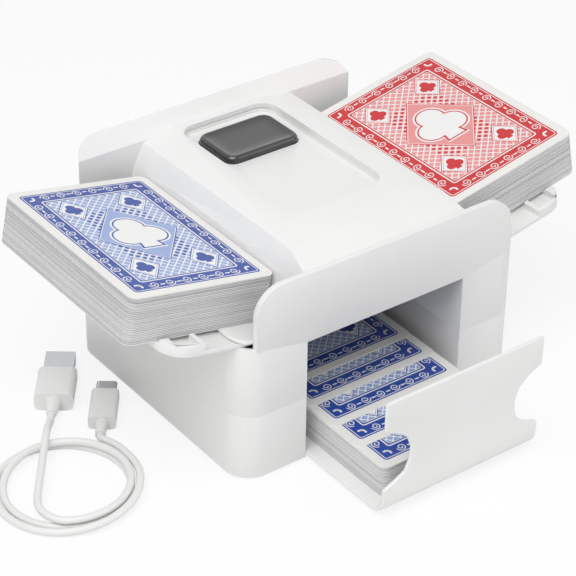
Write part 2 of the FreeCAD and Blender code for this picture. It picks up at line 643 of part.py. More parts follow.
def top_cover():
    """Fence, crown and hood in one moulding, open underneath."""
    fence = new_body("fence")
    plate = outline(fence, "fenceLine", "XZ_Plane", [
        ("-fenceHalf", "seamFence"), ("-bay", "bayTop"), ("bay", "bayTop"), ("fenceHalf", "seamFence"),
        ("fenceHalf", "fenceTop"), ("-fenceHalf", "fenceTop")], offset="deep - fenceThick")
    pad(fence, "fencePad", plate, "fenceThick")
    top = size("fenceTop")
    fillet_where(fence, "fenceCorners", "fenceRadius", lambda box: box.XLength < 0.001
                 and box.ZLength < 0.001 and abs(box.Center.z - top) < 0.01)

    hood_outline = new_body("hoodFace")
    face = outline(hood_outline, "hoodFaceLine", "XZ_Plane", [
        ("-half", "seamEnd"), ("-bay", "bayTop"), ("bay", "bayTop"), ("half", "seamEnd"),
        ("half", "hoodHigh - hoodEndDrop"), ("half - hoodShoulder / 3", "hoodHigh - hoodEndDrop / 3"),
        ("half - hoodShoulder", "hoodHigh"), ("hoodShoulder - half", "hoodHigh"),
        ("hoodShoulder / 3 - half", "hoodHigh - hoodEndDrop / 3"), ("-half", "hoodHigh - hoodEndDrop")])
    pad(hood_outline, "hoodFacePad", face, "bodyDepth", midplane=True)
    hood_section = new_body("hoodSection")
    section = outline(hood_section, "hoodSectionLine", "YZ_Plane", [
        ("hoodFront", "seamHeight"), ("deep", "seamHeight"), ("deep", "hoodHigh - wall / 2"),
        ("deep - wall / 2", "hoodHigh"), ("hoodFront", "hoodLow")])
    pad(hood_section, "hoodSectionPad", section, "bodyWidth", midplane=True)
    hood = overlap("hoodSolid", hood_outline, hood_section, outer_shell("hoodLimit", "seamHeight", "hoodHigh"))
    hood_room = block("hoodRoom", "cornerRadius - half", "half - cornerRadius", "hoodFront + wall",
                      "deep - wall", "seamHeight", "hoodLow - hoodDepth")

    crown_outer = crown_body("crownOuter", "0", "0")
    crown_inner = crown_body("crownInner", "wall", "1")
    tub = block("panelTub", "-panelHalf - wall", "panelHalf + wall", "panelFront - wall", "panelBack + wall",
                "panelFloor - wall", "crownEdge")
    shell = cut("crownShell", crown_outer, crown_inner)
    posts = [rod(f"boardBoss{number}", "bossRadius", "panelFloor - wall / 2 - switchBoard",
                 f"{x} * switchBoss", "buttonY", "switchBoard")
             for number, x in ((1, -1), (2, 1))]
    ribs = []
    for side_name, side in sides():
        for end in (-1, 1):
            tag = f"{side_name}_{'back' if end > 0 else 'front'}"
            ribs.append(side_block("pinchRib_" + tag, side, "pinchX - 2 * wall", "crownWaist - wall / 2",
                                   f"{end} * pinchPlace - wall / 2", f"{end} * pinchPlace + wall / 2",
                                   "pinchZ - bossRadius", "crownWaistHeight + wall"))
    bores = [rod("pinchBore_" + side_name, "shaftRadius + runningGap", "bodyDepth - 2 * cornerRadius",
                 f"{side} * pinchX", "cornerRadius - deep", "pinchZ", "Y") for side_name, side in sides()]
    panel = round_uprights("panelHollow", block(
        "panelHollowBox", "-panelHalf", "panelHalf", "panelFront", "panelBack", "panelFloor", "hoodHigh + 1"),
        "panelRadius")
    opening = round_uprights("buttonHole", block(
        "buttonHoleBox", "-buttonWidth / 2 - buttonGap", "buttonWidth / 2 + buttonGap",
        "buttonY - buttonDepth / 2 - buttonGap", "buttonY + buttonDepth / 2 + buttonGap",
        "panelFloor - 2 * wall", "hoodHigh"), "buttonRadius")
    pilot_holes = [rod(f"boardPilot{number}", "screwRadius", "2 * wall", f"{x} * switchBoss", "buttonY",
                       "switchBoard - 1") for number, x in ((1, -1), (2, 1))]
    whole = join("coverWhole", fence, cut("hood", hood, hood_room), shell, tub, *ribs, *posts)
    return piece("top_cover", cut("topCover", whole, panel, opening, *bores, *pilot_holes))


def crown_body(name, inset, beyond):
    """The crown's cross-section run front to back, falling towards the fence."""
    across = new_body(name + "Across")
    foot = f"trayZ + (crownFoot - bay) * traySlope + feedSlot - {beyond}"
    right = [(f"crownFoot - {inset}", foot), (f"crownWaist - {inset}", "crownWaistHeight"),
             (f"crownShoulder - {inset}", f"crownEdge - {inset}"), (f"crownFlat - {inset}", f"crownTop - {inset}")]
    left = [(f"-({x})", z) for x, z in reversed(right)]
    section = outline(across, name + "Section", "XZ_Plane", right + left)
    pad(across, name + "Pad", section, "bodyDepth", midplane=True)
    along = new_body(name + "Along")
    front, back = f"fenceBack - wall / 2 + {inset}", f"hoodFront + wall / 2 - {inset}"
    profile = outline(along, name + "Profile", "YZ_Plane", [
        (front, "seamHeight"), (back, "seamHeight"), (back, f"crownTop - {inset}"),
        (f"fenceBack + crownFall", f"crownTop - {inset}"),
        (f"fenceBack + crownFall / 2", f"crownTop - {inset} - (crownTop - crownFront) * 0.3"),
        (front, f"crownFront - {inset}")])
    pad(along, name + "Run", profile, "bodyWidth", midplane=True)
    return overlap(name, across, along)


def start_button():
    body = new_body("startButton")
    x, y = "buttonWidth / 2", "buttonDepth / 2"
    flange = rectangle(body, "buttonFlangePlan", "XY_Plane", f"-{x} - buttonFlange", f"{x} + buttonFlange",
                       f"-{y} - buttonFlange", f"{y} + buttonFlange")
    pad(body, "buttonFlangePad", flange, "buttonFlange")
    cap = rectangle(body, "buttonPlan", "XY_Plane", f"-{x}", x, f"-{y}", y)
    pad(body, "buttonPad", cap, "buttonTop - buttonLow")
    fillet_where(body, "buttonCorners", "buttonRadius", is_upright)
    high = size("buttonTop") - size("buttonLow")
    feature_edges = lambda box: box.ZLength < 0.001 and abs(box.Center.z - high) < 0.01
    doc.recompute()
    chamfer = body.newObject("PartDesign::Chamfer", "buttonRim")
    previous = [feature for feature in body.Group if feature.Name == "buttonCorners"][0]
    chamfer.Base = (previous, [f"Edge{number}" for number, edge in enumerate(previous.Shape.Edges, start=1)
                               if feature_edges(edge.BoundBox)])
    bind(chamfer, Size="buttonChamfer")
    bind(body, Placement__Base__y="buttonY", Placement__Base__z="buttonLow")
    return piece("start_button", body)


def button_works():
    pads = []
    for number, x in ((1, -1), (2, 1)):
        spot = (f"{x} * padPlace", "buttonY", "switchBoard")
        outer = rod(f"padRound{number}", "padRadius", "buttonLow - switchBoard", *spot)
        hollow = rod(f"padHollow{number}", "padBore", "buttonLow - switchBoard", *spot)
        pads.append(cut(f"buttonPad{number}", outer, hollow))
    pair = doc.addObject("Part::Compound", "buttonPads")
    pair.Links = pads
    piece("button_pads", pair)
    board = block("switchPlate", "-switchBoss - bossRadius", "switchBoss + bossRadius",
                  "buttonY - buttonDepth / 3", "buttonY + buttonDepth / 3", "switchBoard - boardThick", "switchBoard")
    holes = [rod(f"switchHole{number}", "screwRadius", "3 * boardThick", f"{x} * switchBoss", "buttonY",
                 "switchBoard - 2 * boardThick") for number, x in ((1, -1), (2, 1))]
    piece("switch_board", cut("switchBoardCut", board, *holes))
    case = block("switchCase", "-switchHalf", "switchHalf", "buttonY - switchHalf", "buttonY + switchHalf",
                 "switchBoard", "buttonLow - buttonTravel - 1")
    plunger = rod("switchPlunger", "plungerRadius", "1 - slideGap", "0", "buttonY", "buttonLow - buttonTravel - 1")
    piece("start_switch", join("startSwitch", case, plunger))
    screws = []
    for number, x in ((1, -1), (2, 1)):
        head = rod(f"boardScrewHead{number}", "screwHead", "screwHead * 0.7", f"{x} * switchBoss", "buttonY",
                   "switchBoard - boardThick - screwHead * 0.7")
        shank = rod(f"boardScrewShank{number}", "screwRadius", "boardThick + wall", f"{x} * switchBoss",
                    "buttonY", "switchBoard - boardThick")
        screws.append(join(f"boardScrew{number}", head, shank))
    group = doc.addObject("Part::Compound", "boardScrews")
    group.Links = screws
    piece("board_screws", group)


# ---------------------------------------------------------------- drawer

# A finger bite from its lower to its upper end: how far in, and how far up, as shares of its size.
BITE = ((0, 0), (0.4, 0.08), (0.8, 0.18), (0.97, 0.35), (1, 0.55), (0.85, 0.75), (0.5, 0.89), (0, 1))


def drawer():
    """Floor and front in one bent plate, with a finger bite out of each side of the front."""
    body = new_body("drawerBody")
    side_line = outline(body, "drawerLine", "YZ_Plane", [
        ("-drawerFront", "drawerFloor"), ("drawerBack", "drawerFloor"),
        ("drawerBack", "drawerFloor + drawerThick"), ("drawerThick - drawerFront", "drawerFloor + drawerThick"),
        ("drawerThick - drawerFront", "drawerTop"), ("-drawerFront", "drawerTop")])
    pad(body, "drawerPad", side_line, "bayWidth - 2 * drawerGap", midplane=True)
    front, floor, thick = size("drawerFront"), size("drawerFloor"), size("drawerThick")
    fillet_where(body, "drawerOuterBend", "drawerBend", lambda box: box.XLength > 1
                 and abs(box.Center.y + front) < 0.01 and abs(box.Center.z - floor) < 0.01)
    fillet_where(body, "drawerInnerBend", "drawerBend - drawerThick", lambda box: box.XLength > 1
                 and abs(box.Center.y + front - thick) < 0.01 and abs(box.Center.z - floor - thick) < 0.01)
    bites = []
    for side_name, side in sides():
        points = [(f"{side} * (bay + 1)", "drawerBiteLow + drawerBiteTall"),
                  (f"{side} * (bay + 1)", "drawerBiteLow")]
        for inward, height in BITE:
            points.append((f"{side} * (bay - drawerGap - drawerBiteDeep * {inward})",
                           f"drawerBiteLow + drawerBiteTall * {height}"))
        bites.append(outline(body, f"drawerBite_{side_name}", "XZ_Plane", points, offset="drawerFront + 1"))
    for number, bite in enumerate(bites):
        doc.recompute()
        before = body.Shape.Volume
        pocket = body.newObject("PartDesign::Pocket", f"drawerBiteCut{number}")
        pocket.Profile = bite
        bind(pocket, Length="drawerThick + drawerBend + 1")
        doc.recompute()
        if body.Shape.Volume > before - 1:
            raise RuntimeError("a finger bite cuts nothing")
    return piece("drawer", body)


# ---------------------------------------------------------------- rollers and their frames

def shaft(name, side, x, z, start, end):
    """A turning shaft along Y between two Y places."""
    return rod(name, "shaftRadius", f"({end}) - ({start})", f"{side} * {x}", start, z, "Y")


def tyres(name, side, x, z, radius):
    """Two rubber tyres on one shaft."""
    rings = []
    for end in (-1, 1):
        tag = f"{name}_{'back' if end > 0 else 'front'}"
        start = f"{end} * tyrePlace - tyreWidth / 2"
        ring = rod(tag + "Ring", radius, "tyreWidth", f"{side} * {x}", start, z, "Y")
        bore = rod(tag + "Bore", "shaftRadius", "tyreWidth + 2", f"{side} * {x}", f"{start} - 1", z, "Y")
        rings.append(cut(tag, ring, bore))
    group = doc.addObject("Part::Compound", name)
    group.Links = rings
    return group


def pinch_roller(side_name, side):
    """An idle roller over the exit tyres, its axle in the cover's ribs."""
    axle = rod("pinchAxle_" + side_name, "shaftRadius", "2 * pinchPlace + 2 * wall", f"{side} * pinchX",
               "-pinchPlace - wall", "pinchZ", "Y")
    rolls = [rod(f"pinchRoll_{side_name}_{tag}", "pinchRadius", "tyreWidth", f"{side} * pinchX",
                 f"{end} * tyrePlace - tyreWidth / 2", "pinchZ", "Y") for tag, end in (("front", -1), ("back", 1))]
    return piece(f"{side_name}_pinch_roller", join("pinchRoller_" + side_name, axle, *rolls))


def roller_frame(name, side_name, side, start):
    """A plate across one pillar that holds the bushes; the rear one also holds the motor."""
    rear = name == "rear"
    foot = "motorZ - motorRadius" if rear else "feedZ - 2 * bossRadius"
    body = new_body(f"{name}Frame_{side_name}")
    low = "notchHeight + slideGap"
    reach = "exitX - bossRadius - 1"
    line = outline(body, f"{name}FrameLine_{side_name}", "XZ_Plane", [
        (f"{side} * (bay + wall)", foot), (f"{side} * (half - wall)", foot),
        (f"{side} * (half - wall)", "feedZ + bossRadius + 1"), (f"{side} * feedReach", "feedZ + bossRadius + 1"),
        (f"{side} * nipReach", "exitZ + bossRadius + slideGap"), (f"{side} * ({reach})", "exitZ + bossRadius + slideGap"),
        (f"{side} * ({reach})", low), (f"{side} * (bay + wall)", low)], offset=f"-({start}) - frameThick")
    pad(body, f"{name}FramePad_{side_name}", line, "frameThick")
    holes = [rod(f"{name}FrameHole_{side_name}_{tag}", "bushRadius", "3 * frameThick", f"{side} * {x}",
                 f"({start}) - frameThick", z, "Y") for tag, x, z in (("feed", "feedX", "feedZ"), ("exit", "exitX", "exitZ"))]
    if rear:
        holes.append(rod(f"motorNoseHole_{side_name}", "bushRadius", "3 * frameThick", f"{side} * motorX",
                         f"({start}) - frameThick", "motorZ", "Y"))
        stubs = [rod(f"gearStub_{side_name}_{tag}", "shaftRadius", f"frameThick + {length}", f"{side} * {x}",
                     start, z, "Y") for tag, x, z, length in (
                         ("idler", "idlerX", "idlerZ", "gearGap + gearWidth"),
                         ("reduction", "reductionX", "reductionZ", "2 * gearGap + 2 * gearWidth"))]
        plate = cut(f"{name}FrameCut_{side_name}", body, *holes)
        return piece(f"{side_name}_{name}_frame", join(f"{name}FrameWhole_{side_name}", plate, *stubs))
    return piece(f"{side_name}_{name}_frame", cut(f"{name}FrameCut_{side_name}", body, *holes))


def shaft_bushes():
    rings = []
    for side_name, side in sides():
        for start in ("frontFrame", "rearFrame"):
            for tag, x, z in (("feed", "feedX", "feedZ"), ("exit", "exitX", "exitZ")):
                name = f"bush_{side_name}_{start}_{tag}"
                outer = rod(name + "Outer", "bushRadius", "frameThick", f"{side} * {x}", start, z, "Y")
                bore = rod(name + "Bore", "shaftRadius + runningGap", "3 * frameThick", f"{side} * {x}",
                           f"{start} - frameThick", z, "Y")
                rings.append(cut(name, outer, bore))
    group = doc.addObject("Part::Compound", "shaftBushes")
    group.Links = rings
    return piece("shaft_bushes", group)


def gear_shape(teeth, bore, start, width, phase):
    """A spur gear about the Y axis; phase is where one tooth points, from +X towards +Z."""
    module = size("gearModule")
    pitch = teeth * module / 2.0
    top, root = pitch + 0.8 * module, pitch - 1.1 * module
    step = 2 * math.pi / teeth
    points = []
    for number in range(teeth):
        middle = phase + number * step
        for radius, share in ((root, -0.33), (pitch, -0.22), (top, -0.1), (top, 0.1), (pitch, 0.22), (root, 0.33)):
            angle = middle + share * step
            points.append(Vector(radius * math.cos(angle), start, radius * math.sin(angle)))
    points.append(points[0])
    solid = Part.Face(Part.makePolygon(points)).extrude(Vector(0, width, 0))
    if bore > 0:
        solid = solid.cut(Part.makeCylinder(bore, width + 2, Vector(0, start - 1, 0), Vector(0, 1, 0)))
    return solid


def mesh_phase(from_centre, from_phase, from_teeth, to_centre, to_teeth):
    """Where a tooth of the second gear points when it is in mesh with the first."""
    angle = math.atan2(to_centre[1] - from_centre[1], to_centre[0] - from_centre[0])
    share = (angle - from_phase) * from_teeth / (2 * math.pi)
    return angle + math.pi - (0.5 - share) * 2 * math.pi / to_teeth


def gear_piece(name, shape, side, place, plane):
    gear = doc.addObject("Part::Feature", name)
    gear.Shape = shape
    bind(gear, Placement__Base__x=f"{side} * {place}X", Placement__Base__y=plane, Placement__Base__z=place + "Z")
    return piece(name, gear)


def gear_train(side_name, side):
    """Pinion, reduction gear, feed gear, idler and exit gear, each placed in mesh with the next."""
    width, axle = size("gearWidth"), size("shaftRadius")
    loose = axle + size("runningGap")
    count = {name: int(size(name + "Teeth")) for name in ("feed", "exit", "idler", "small", "large", "pinion")}
    centre = {name: (side * size(place + "X"), size(place + "Z")) for name, place in (
        ("feed", "feed"), ("exit", "exit"), ("idler", "idler"), ("small", "reduction"), ("pinion", "motor"))}
    phase = {"feed": 0.0}
    phase["idler"] = mesh_phase(centre["feed"], 0.0, count["feed"], centre["idler"], count["idler"])
    phase["exit"] = mesh_phase(centre["idler"], phase["idler"], count["idler"], centre["exit"], count["exit"])
    phase["small"] = mesh_phase(centre["feed"], 0.0, count["feed"], centre["small"], count["small"])
    phase["pinion"] = mesh_phase(centre["small"], phase["small"], count["large"], centre["pinion"],
                                 count["pinion"])

    for name, bore in (("feed", axle), ("exit", axle), ("idler", loose)):
        gear_piece(f"{side_name}_{name}_gear", gear_shape(count[name], bore, 0, width, phase[name]),
                   side, name, "planeOne")
    pinion = gear_shape(count["pinion"], size("motorShaft"), 0, width, phase["pinion"])
    gear_piece(f"{side_name}_motor_pinion", pinion, side, "motor", "planeTwo")
    step = width + size("gearGap")
    hub = Part.makeCylinder(2 * axle, step, Vector(0, 0, 0), Vector(0, 1, 0))
    core = Part.makeCylinder(loose, 3 * width, Vector(0, -1, 0), Vector(0, 1, 0))
    small = gear_shape(count["small"], 0, 0, width, phase["small"])
    large = gear_shape(count["large"], 0, step, width, phase["small"])
    gear_piece(f"{side_name}_reduction_gear", large.fuse([small, hub]).cut(core), side, "reduction", "planeOne")


def motor(side_name, side):
    """A small direct-current motor: a can with two flats and a nose, and its turning shaft."""
    can = rod("motorCan_" + side_name, "motorRadius", "motorLength", f"{side} * motorX",
              "rearFrame - motorLength", "motorZ", "Y")
    band = block("motorBand_" + side_name, f"{side} * motorX - motorRadius", f"{side} * motorX + motorRadius",
                 "rearFrame - motorLength", "rearFrame", "motorZ - motorFlat / 2", "motorZ + motorFlat / 2")
    nose = rod("motorNose_" + side_name, "bushRadius", "frameThick", f"{side} * motorX", "rearFrame", "motorZ", "Y")
    core = rod("motorBore_" + side_name, "motorShaft + runningGap", "frameThick + motorLength / 2",
               f"{side} * motorX", "rearFrame - motorLength / 2", "motorZ", "Y")
    body = cut("motorBody_" + side_name, join("motorJoin_" + side_name, overlap("motorSides_" + side_name, can, band), nose), core)
    piece(f"{side_name}_motor", body)
    turning = rod("motorShaft_" + side_name, "motorShaft", "motorLength / 2 - 1 + frameThick + 2 * gearGap + 2 * gearWidth",
                  f"{side} * motorX", "rearFrame - motorLength / 2 + 1", "motorZ", "Y")
    piece(f"{side_name}_motor_shaft", turning)


def drive(side_name, side):
    """Everything under one tray that turns, and what holds it."""
    piece(f"{side_name}_feed_shaft", shaft("feedShaft_" + side_name, side, "feedX", "feedZ",
                                           "frontFrame - 1", "shaftBack"))
    piece(f"{side_name}_exit_shaft", shaft("exitShaft_" + side_name, side, "exitX", "exitZ",
                                           "frontFrame - 1", "shaftBack"))
    piece(f"{side_name}_feed_tyres", tyres("feedTyres_" + side_name, side, "feedX", "feedZ", "feedRadius"))
    piece(f"{side_name}_exit_tyres", tyres("exitTyres_" + side_name, side, "exitX", "exitZ", "exitRadius"))
    pinch_roller(side_name, side)
    roller_frame("front", side_name, side, "frontFrame")
    roller_frame("rear", side_name, side, "rearFrame")
    motor(side_name, side)
    gear_train(side_name, side)


# ---------------------------------------------------------------- power

def power():
    cell = rod("cell", "batteryRadius", "batteryLength", "-boardMiddle", "batteryFront",
               "footHeight + wall + batteryRadius", "Y")
    piece("battery_cell", cell)
    board = block("mainPlate", "boardMiddle - boardPost - bossRadius", "boardMiddle + boardPost + bossRadius",
                  "boardFront", "deep - 2 * wall", "mainBoard", "mainBoard + boardThick")
    room = cavity("boardRoom", 1, "footHeight + wall", "seamHeight")
    notch = rod("boardNotch", "bossRadius + slideGap", "3 * boardThick", "bossX", "bossY", "mainBoard - boardThick")
    piece("main_board", cut("mainBoardCut", overlap("mainBoardPlate", board, room), notch))
    outside = block("socketOut", "boardMiddle - socketWidth / 2", "boardMiddle + socketWidth / 2",
                    "deep - socketLength", "deep", "mainBoard + boardThick", "mainBoard + boardThick + socketHeight")
    inside = block("socketIn", "boardMiddle - socketWidth / 2 + 0.4", "boardMiddle + socketWidth / 2 - 0.4",
                   "deep - socketLength + 1", "deep + 1", "mainBoard + boardThick + 0.4",
                   "mainBoard + boardThick + socketHeight - 0.4")
    piece("charging_socket", cut("chargingSocket", outside, inside))


# ---------------------------------------------------------------- charging cable

# The cable lies flat beside the housing, both plugs pointing the same way from the coil.
CORD_WAY = Vector(0.6, 0.8, 0)
CORD_SIDE = Vector(0.8, -0.6, 0)
CORD_TURN = math.degrees(math.atan2(CORD_WAY.y, CORD_WAY.x))


def on_cord(along, aside, height):
    """A point given along the plugs' direction, to its right and up, from the coil's middle."""
    return Vector(size("coilX"), size("coilY"), height) + CORD_WAY * along + CORD_SIDE * aside


def tube(name, points):
    """Straight runs joined by the largest tangent arcs, swept with the cable's round section."""
    radius = size("cordDiameter") / 2
    edges, last, radii = [], points[0], []
    for before, corner, after in zip(points, points[1:], points[2:]):
        come, go = (corner - before), (after - corner)
        shorter = min(come.Length, go.Length)
        come, go = come.normalize(), go.normalize()
        half_turn = come.getAngle(go) / 2
        reach = 0.45 * shorter
        radii.append(reach / math.tan(half_turn))
        start, end = corner - come * reach, corner + go * reach
        inward = (go - come).normalize()
        middle = corner + inward * (radii[-1] / math.cos(half_turn) - radii[-1])
        edges.append(Part.LineSegment(last, start).toShape())
        edges.append(Part.Arc(start, middle, end).toShape())
        last = end
    edges.append(Part.LineSegment(last, points[-1]).toShape())
    path = Part.Wire(edges)
    ring = Part.Wire(Part.makeCircle(radius, points[0], points[1] - points[0]))
    solid = path.makePipeShell([ring], True, False)
    print(f"{name}: length {path.Length:.1f}, radii {[round(value, 1) for value in radii]},",
          f"volume ratio {solid.Volume / (math.pi * radius ** 2 * path.Length):.4f}")
    return solid


def cord_box(name, along, aside, height, length, wide, tall):
    """A box of a plug, lying along the plugs' direction; its sizes are formulas, its place is a point."""
    box = doc.addObject("Part::Box", name)
    bind(box, Length=length, Width=wide, Height=tall)
    doc.recompute()
    corner = on_cord(along, aside, height) + CORD_SIDE * (box.Width.Value / 2)
    box.Placement = FreeCAD.Placement(corner, FreeCAD.Rotation(Vector(0, 0, 1), CORD_TURN))
    return box


def rounded_box(name, box, share):
    """Round the long edges of a plug's grip by a share of its height."""
    doc.recompute()
    radius = share * box.Height.Value
    long_edges = [number for number, edge in enumerate(box.Shape.Edges, start=1)
                  if abs(edge.Length - box.Length.Value) < 0.001]
    result = doc.addObject("Part::Fillet", name)
    result.Base = box
    result.Edges = [(number, radius, radius) for number in long_edges]
    return result


def plug(name, prefix, aside, start):
    """A grip with a round strain relief, and the metal shell it holds."""
    grip_start = size(start) + size("reliefLength")
    shell_start = grip_start + size("gripLength")
    wall = size("plugWall")
    grip_tall = size(prefix + "GripTall")
    middle = grip_tall / 2
    grip = rounded_box(name + "Grip", cord_box(name + "GripBox", grip_start, aside, 0, "gripLength",
                                               prefix + "GripWide", prefix + "GripTall"), 0.3)
    relief = doc.addObject("Part::Cone", name + "Relief")
    bind(relief, Radius1="cordDiameter / 2 + 0.5", Radius2=f"{prefix}GripTall / 2 - 0.6", Height="reliefLength")
    along = FreeCAD.Rotation(Vector(0, 0, 1), CORD_WAY)
    relief.Placement = FreeCAD.Placement(on_cord(size(start), aside, middle), along)
    piece(f"{name}_grip", join(name + "GripWhole", grip, relief))
    shell_tall = size(prefix + "ShellTall")
    shell = cord_box(name + "Shell", shell_start, aside, middle - shell_tall / 2, prefix + "ShellLength",
                     prefix + "ShellWide", prefix + "ShellTall")
    hollow = cord_box(name + "Hollow", shell_start + wall, aside, middle - shell_tall / 2 + wall,
                      prefix + "ShellLength", prefix + "ShellWide - 2 * plugWall",
                      prefix + "ShellTall - 2 * plugWall")
    if prefix == "small":
        shell, hollow = rounded_box(name + "ShellRound", shell, 0.45), rounded_box(name + "HollowRound", hollow, 0.45)
    piece(f"{name}_shell", cut(name + "ShellWhole", shell, hollow))
    return middle


def charging_cable():
    outer = rod("coilOuterRound", "coilOuter", "coilHeight", "coilX", "coilY", "0")
    inner = rod("coilInnerRound", "coilInner", "coilHeight + 2", "coilX", "coilY", "-1")
    ring = cut("coilRing", outer, inner)
    doc.recompute()
    rounded = doc.addObject("Part::Fillet", "coilRounded")
    rounded.Base = ring
    rims = [number for number, edge in enumerate(ring.Shape.Edges, start=1) if edge.BoundBox.ZLength < 0.001]
    rounded.Edges = [(number, size("coilRound"), size("coilRound")) for number in rims]
    piece("cable_coil", rounded)
    aside = size("plugAside")
    high = plug("usb_a_plug", "plug", -aside, "plugStart")
    start = size("plugStart")
    over = size("coilHeight") + size("cordDiameter") / 2
    inner_wall = math.sqrt(size("coilInner") ** 2 - aside ** 2)
    crossing = tube("lead of the larger plug", [
        on_cord(start, -aside, high), on_cord(start - 5.5, -aside, high), on_cord(26, -aside, over + 1.4),
        on_cord(11, -aside, over - 0.6), on_cord(-5, -aside, over - 3), on_cord(-inner_wall, -aside, 3.2)])
    low = plug("usb_c_plug", "small", aside, "smallStart")
    outer_wall = math.sqrt(size("coilOuter") ** 2 - aside ** 2)
    bite = 0.5
    stub = Part.makeCylinder(size("cordDiameter") / 2, size("smallStart") + bite - outer_wall,
                             on_cord(outer_wall - bite, aside, low), CORD_WAY)
    leads = doc.addObject("Part::Feature", "chargingLeads")
    leads.Shape = Part.makeCompound([crossing, stub])
    leads.Placement = FreeCAD.Placement()
    piece("charging_leads", leads)


# ---------------------------------------------------------------- build and write

base_housing()
middle_housing()
corner_screws()
rubber_feet()
for side_name, side in sides():
    card_tray(side_name, side)
    card_rest(side_name, side)
    tray_deck(side_name, side)
    drive(side_name, side)
drawer_cards()
top_cover()
start_button()
button_works()
drawer()
shaft_bushes()
power()
charging_cable()
doc.recompute()

for thing in doc.Objects:
    if "Invalid" in thing.State or "Error" in thing.State:
        raise RuntimeError(f"{thing.Name} failed: {thing.State}")
for name, thing in pieces.items():
    if thing.Shape.isNull() or not thing.Shape.isValid() or thing.Shape.Volume <= 0:
        raise RuntimeError(f"{name} has no valid shape")

os.makedirs("parts", exist_ok=True)
for name, thing in pieces.items():
    thing.Shape.exportStep(f"parts/{name}.step")
print(len(pieces), "nodes written")
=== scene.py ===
import json
import math
import random

import bmesh
import bpy
from mathutils import Matrix, Vector


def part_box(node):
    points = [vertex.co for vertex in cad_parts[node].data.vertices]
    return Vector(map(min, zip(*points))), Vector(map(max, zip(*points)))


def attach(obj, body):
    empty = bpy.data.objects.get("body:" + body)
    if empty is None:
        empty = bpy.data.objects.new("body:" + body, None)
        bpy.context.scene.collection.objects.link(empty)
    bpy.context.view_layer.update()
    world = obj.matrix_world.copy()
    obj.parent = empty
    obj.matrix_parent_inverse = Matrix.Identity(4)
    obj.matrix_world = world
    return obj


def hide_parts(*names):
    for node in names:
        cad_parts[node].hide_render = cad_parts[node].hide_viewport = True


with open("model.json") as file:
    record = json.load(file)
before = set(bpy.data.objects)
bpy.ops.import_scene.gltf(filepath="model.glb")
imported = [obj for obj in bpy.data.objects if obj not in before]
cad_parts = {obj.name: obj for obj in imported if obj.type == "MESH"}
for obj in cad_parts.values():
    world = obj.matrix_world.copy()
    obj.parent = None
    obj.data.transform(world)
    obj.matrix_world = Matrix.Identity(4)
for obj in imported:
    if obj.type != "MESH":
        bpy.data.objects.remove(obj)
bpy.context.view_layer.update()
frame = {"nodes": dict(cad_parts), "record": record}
nodes = frame["nodes"]
mm = 0.001
print("frame loaded:", len(nodes), "nodes")

# the camera stands at the left front, above the card trays
camera = {"place": (-0.4380, -0.5788, 0.5043), "yaw": -36.92, "pitch": -33.01, "roll": 0.81,
          "lens": 134.17, "sensor": 36}


def makeCamera():
    yaw, pitch, roll = (math.radians(camera[name]) for name in ("yaw", "pitch", "roll"))
    forward = Vector((-math.sin(yaw) * math.cos(pitch), math.cos(yaw) * math.cos(pitch), math.sin(pitch)))
    right = Vector((math.cos(yaw), math.sin(yaw), 0))
    up = right.cross(forward)
    rolledRight = right * math.cos(roll) + up * math.sin(roll)
    rolledUp = up * math.cos(roll) - right * math.sin(roll)
    data = bpy.data.cameras.new("productCamera")
    data.lens = camera["lens"]
    data.sensor_width = camera["sensor"]
    data.clip_start = 0.05
    data.clip_end = 20
    eye = bpy.data.objects.new("productCamera", data)
    bpy.context.scene.collection.objects.link(eye)
    turn = Matrix((rolledRight, rolledUp, -forward)).transposed().to_4x4()
    eye.matrix_world = Matrix.Translation(camera["place"]) @ turn
    bpy.context.scene.camera = eye


makeCamera()
print("camera placed")


# sRGB hex to linear colour
def toLinear(hexText):
    channels = [int(hexText[start:start + 2], 16) / 255 for start in (0, 2, 4)]
    return tuple(c / 12.92 if c <= 0.04045 else ((c + 0.055) / 1.055) ** 2.4 for c in channels) + (1.0,)


def addNode(tree, kind, settings=None, links=None):
    node = tree.nodes.new(kind)
    for name, value in (settings or {}).items():
        setattr(node, name, value)
    for name, value in (links or {}).items():
        socket = node.inputs[name]
        if isinstance(value, bpy.types.NodeSocket):
            tree.links.new(value, socket)
        else:
            socket.default_value = value
    return node


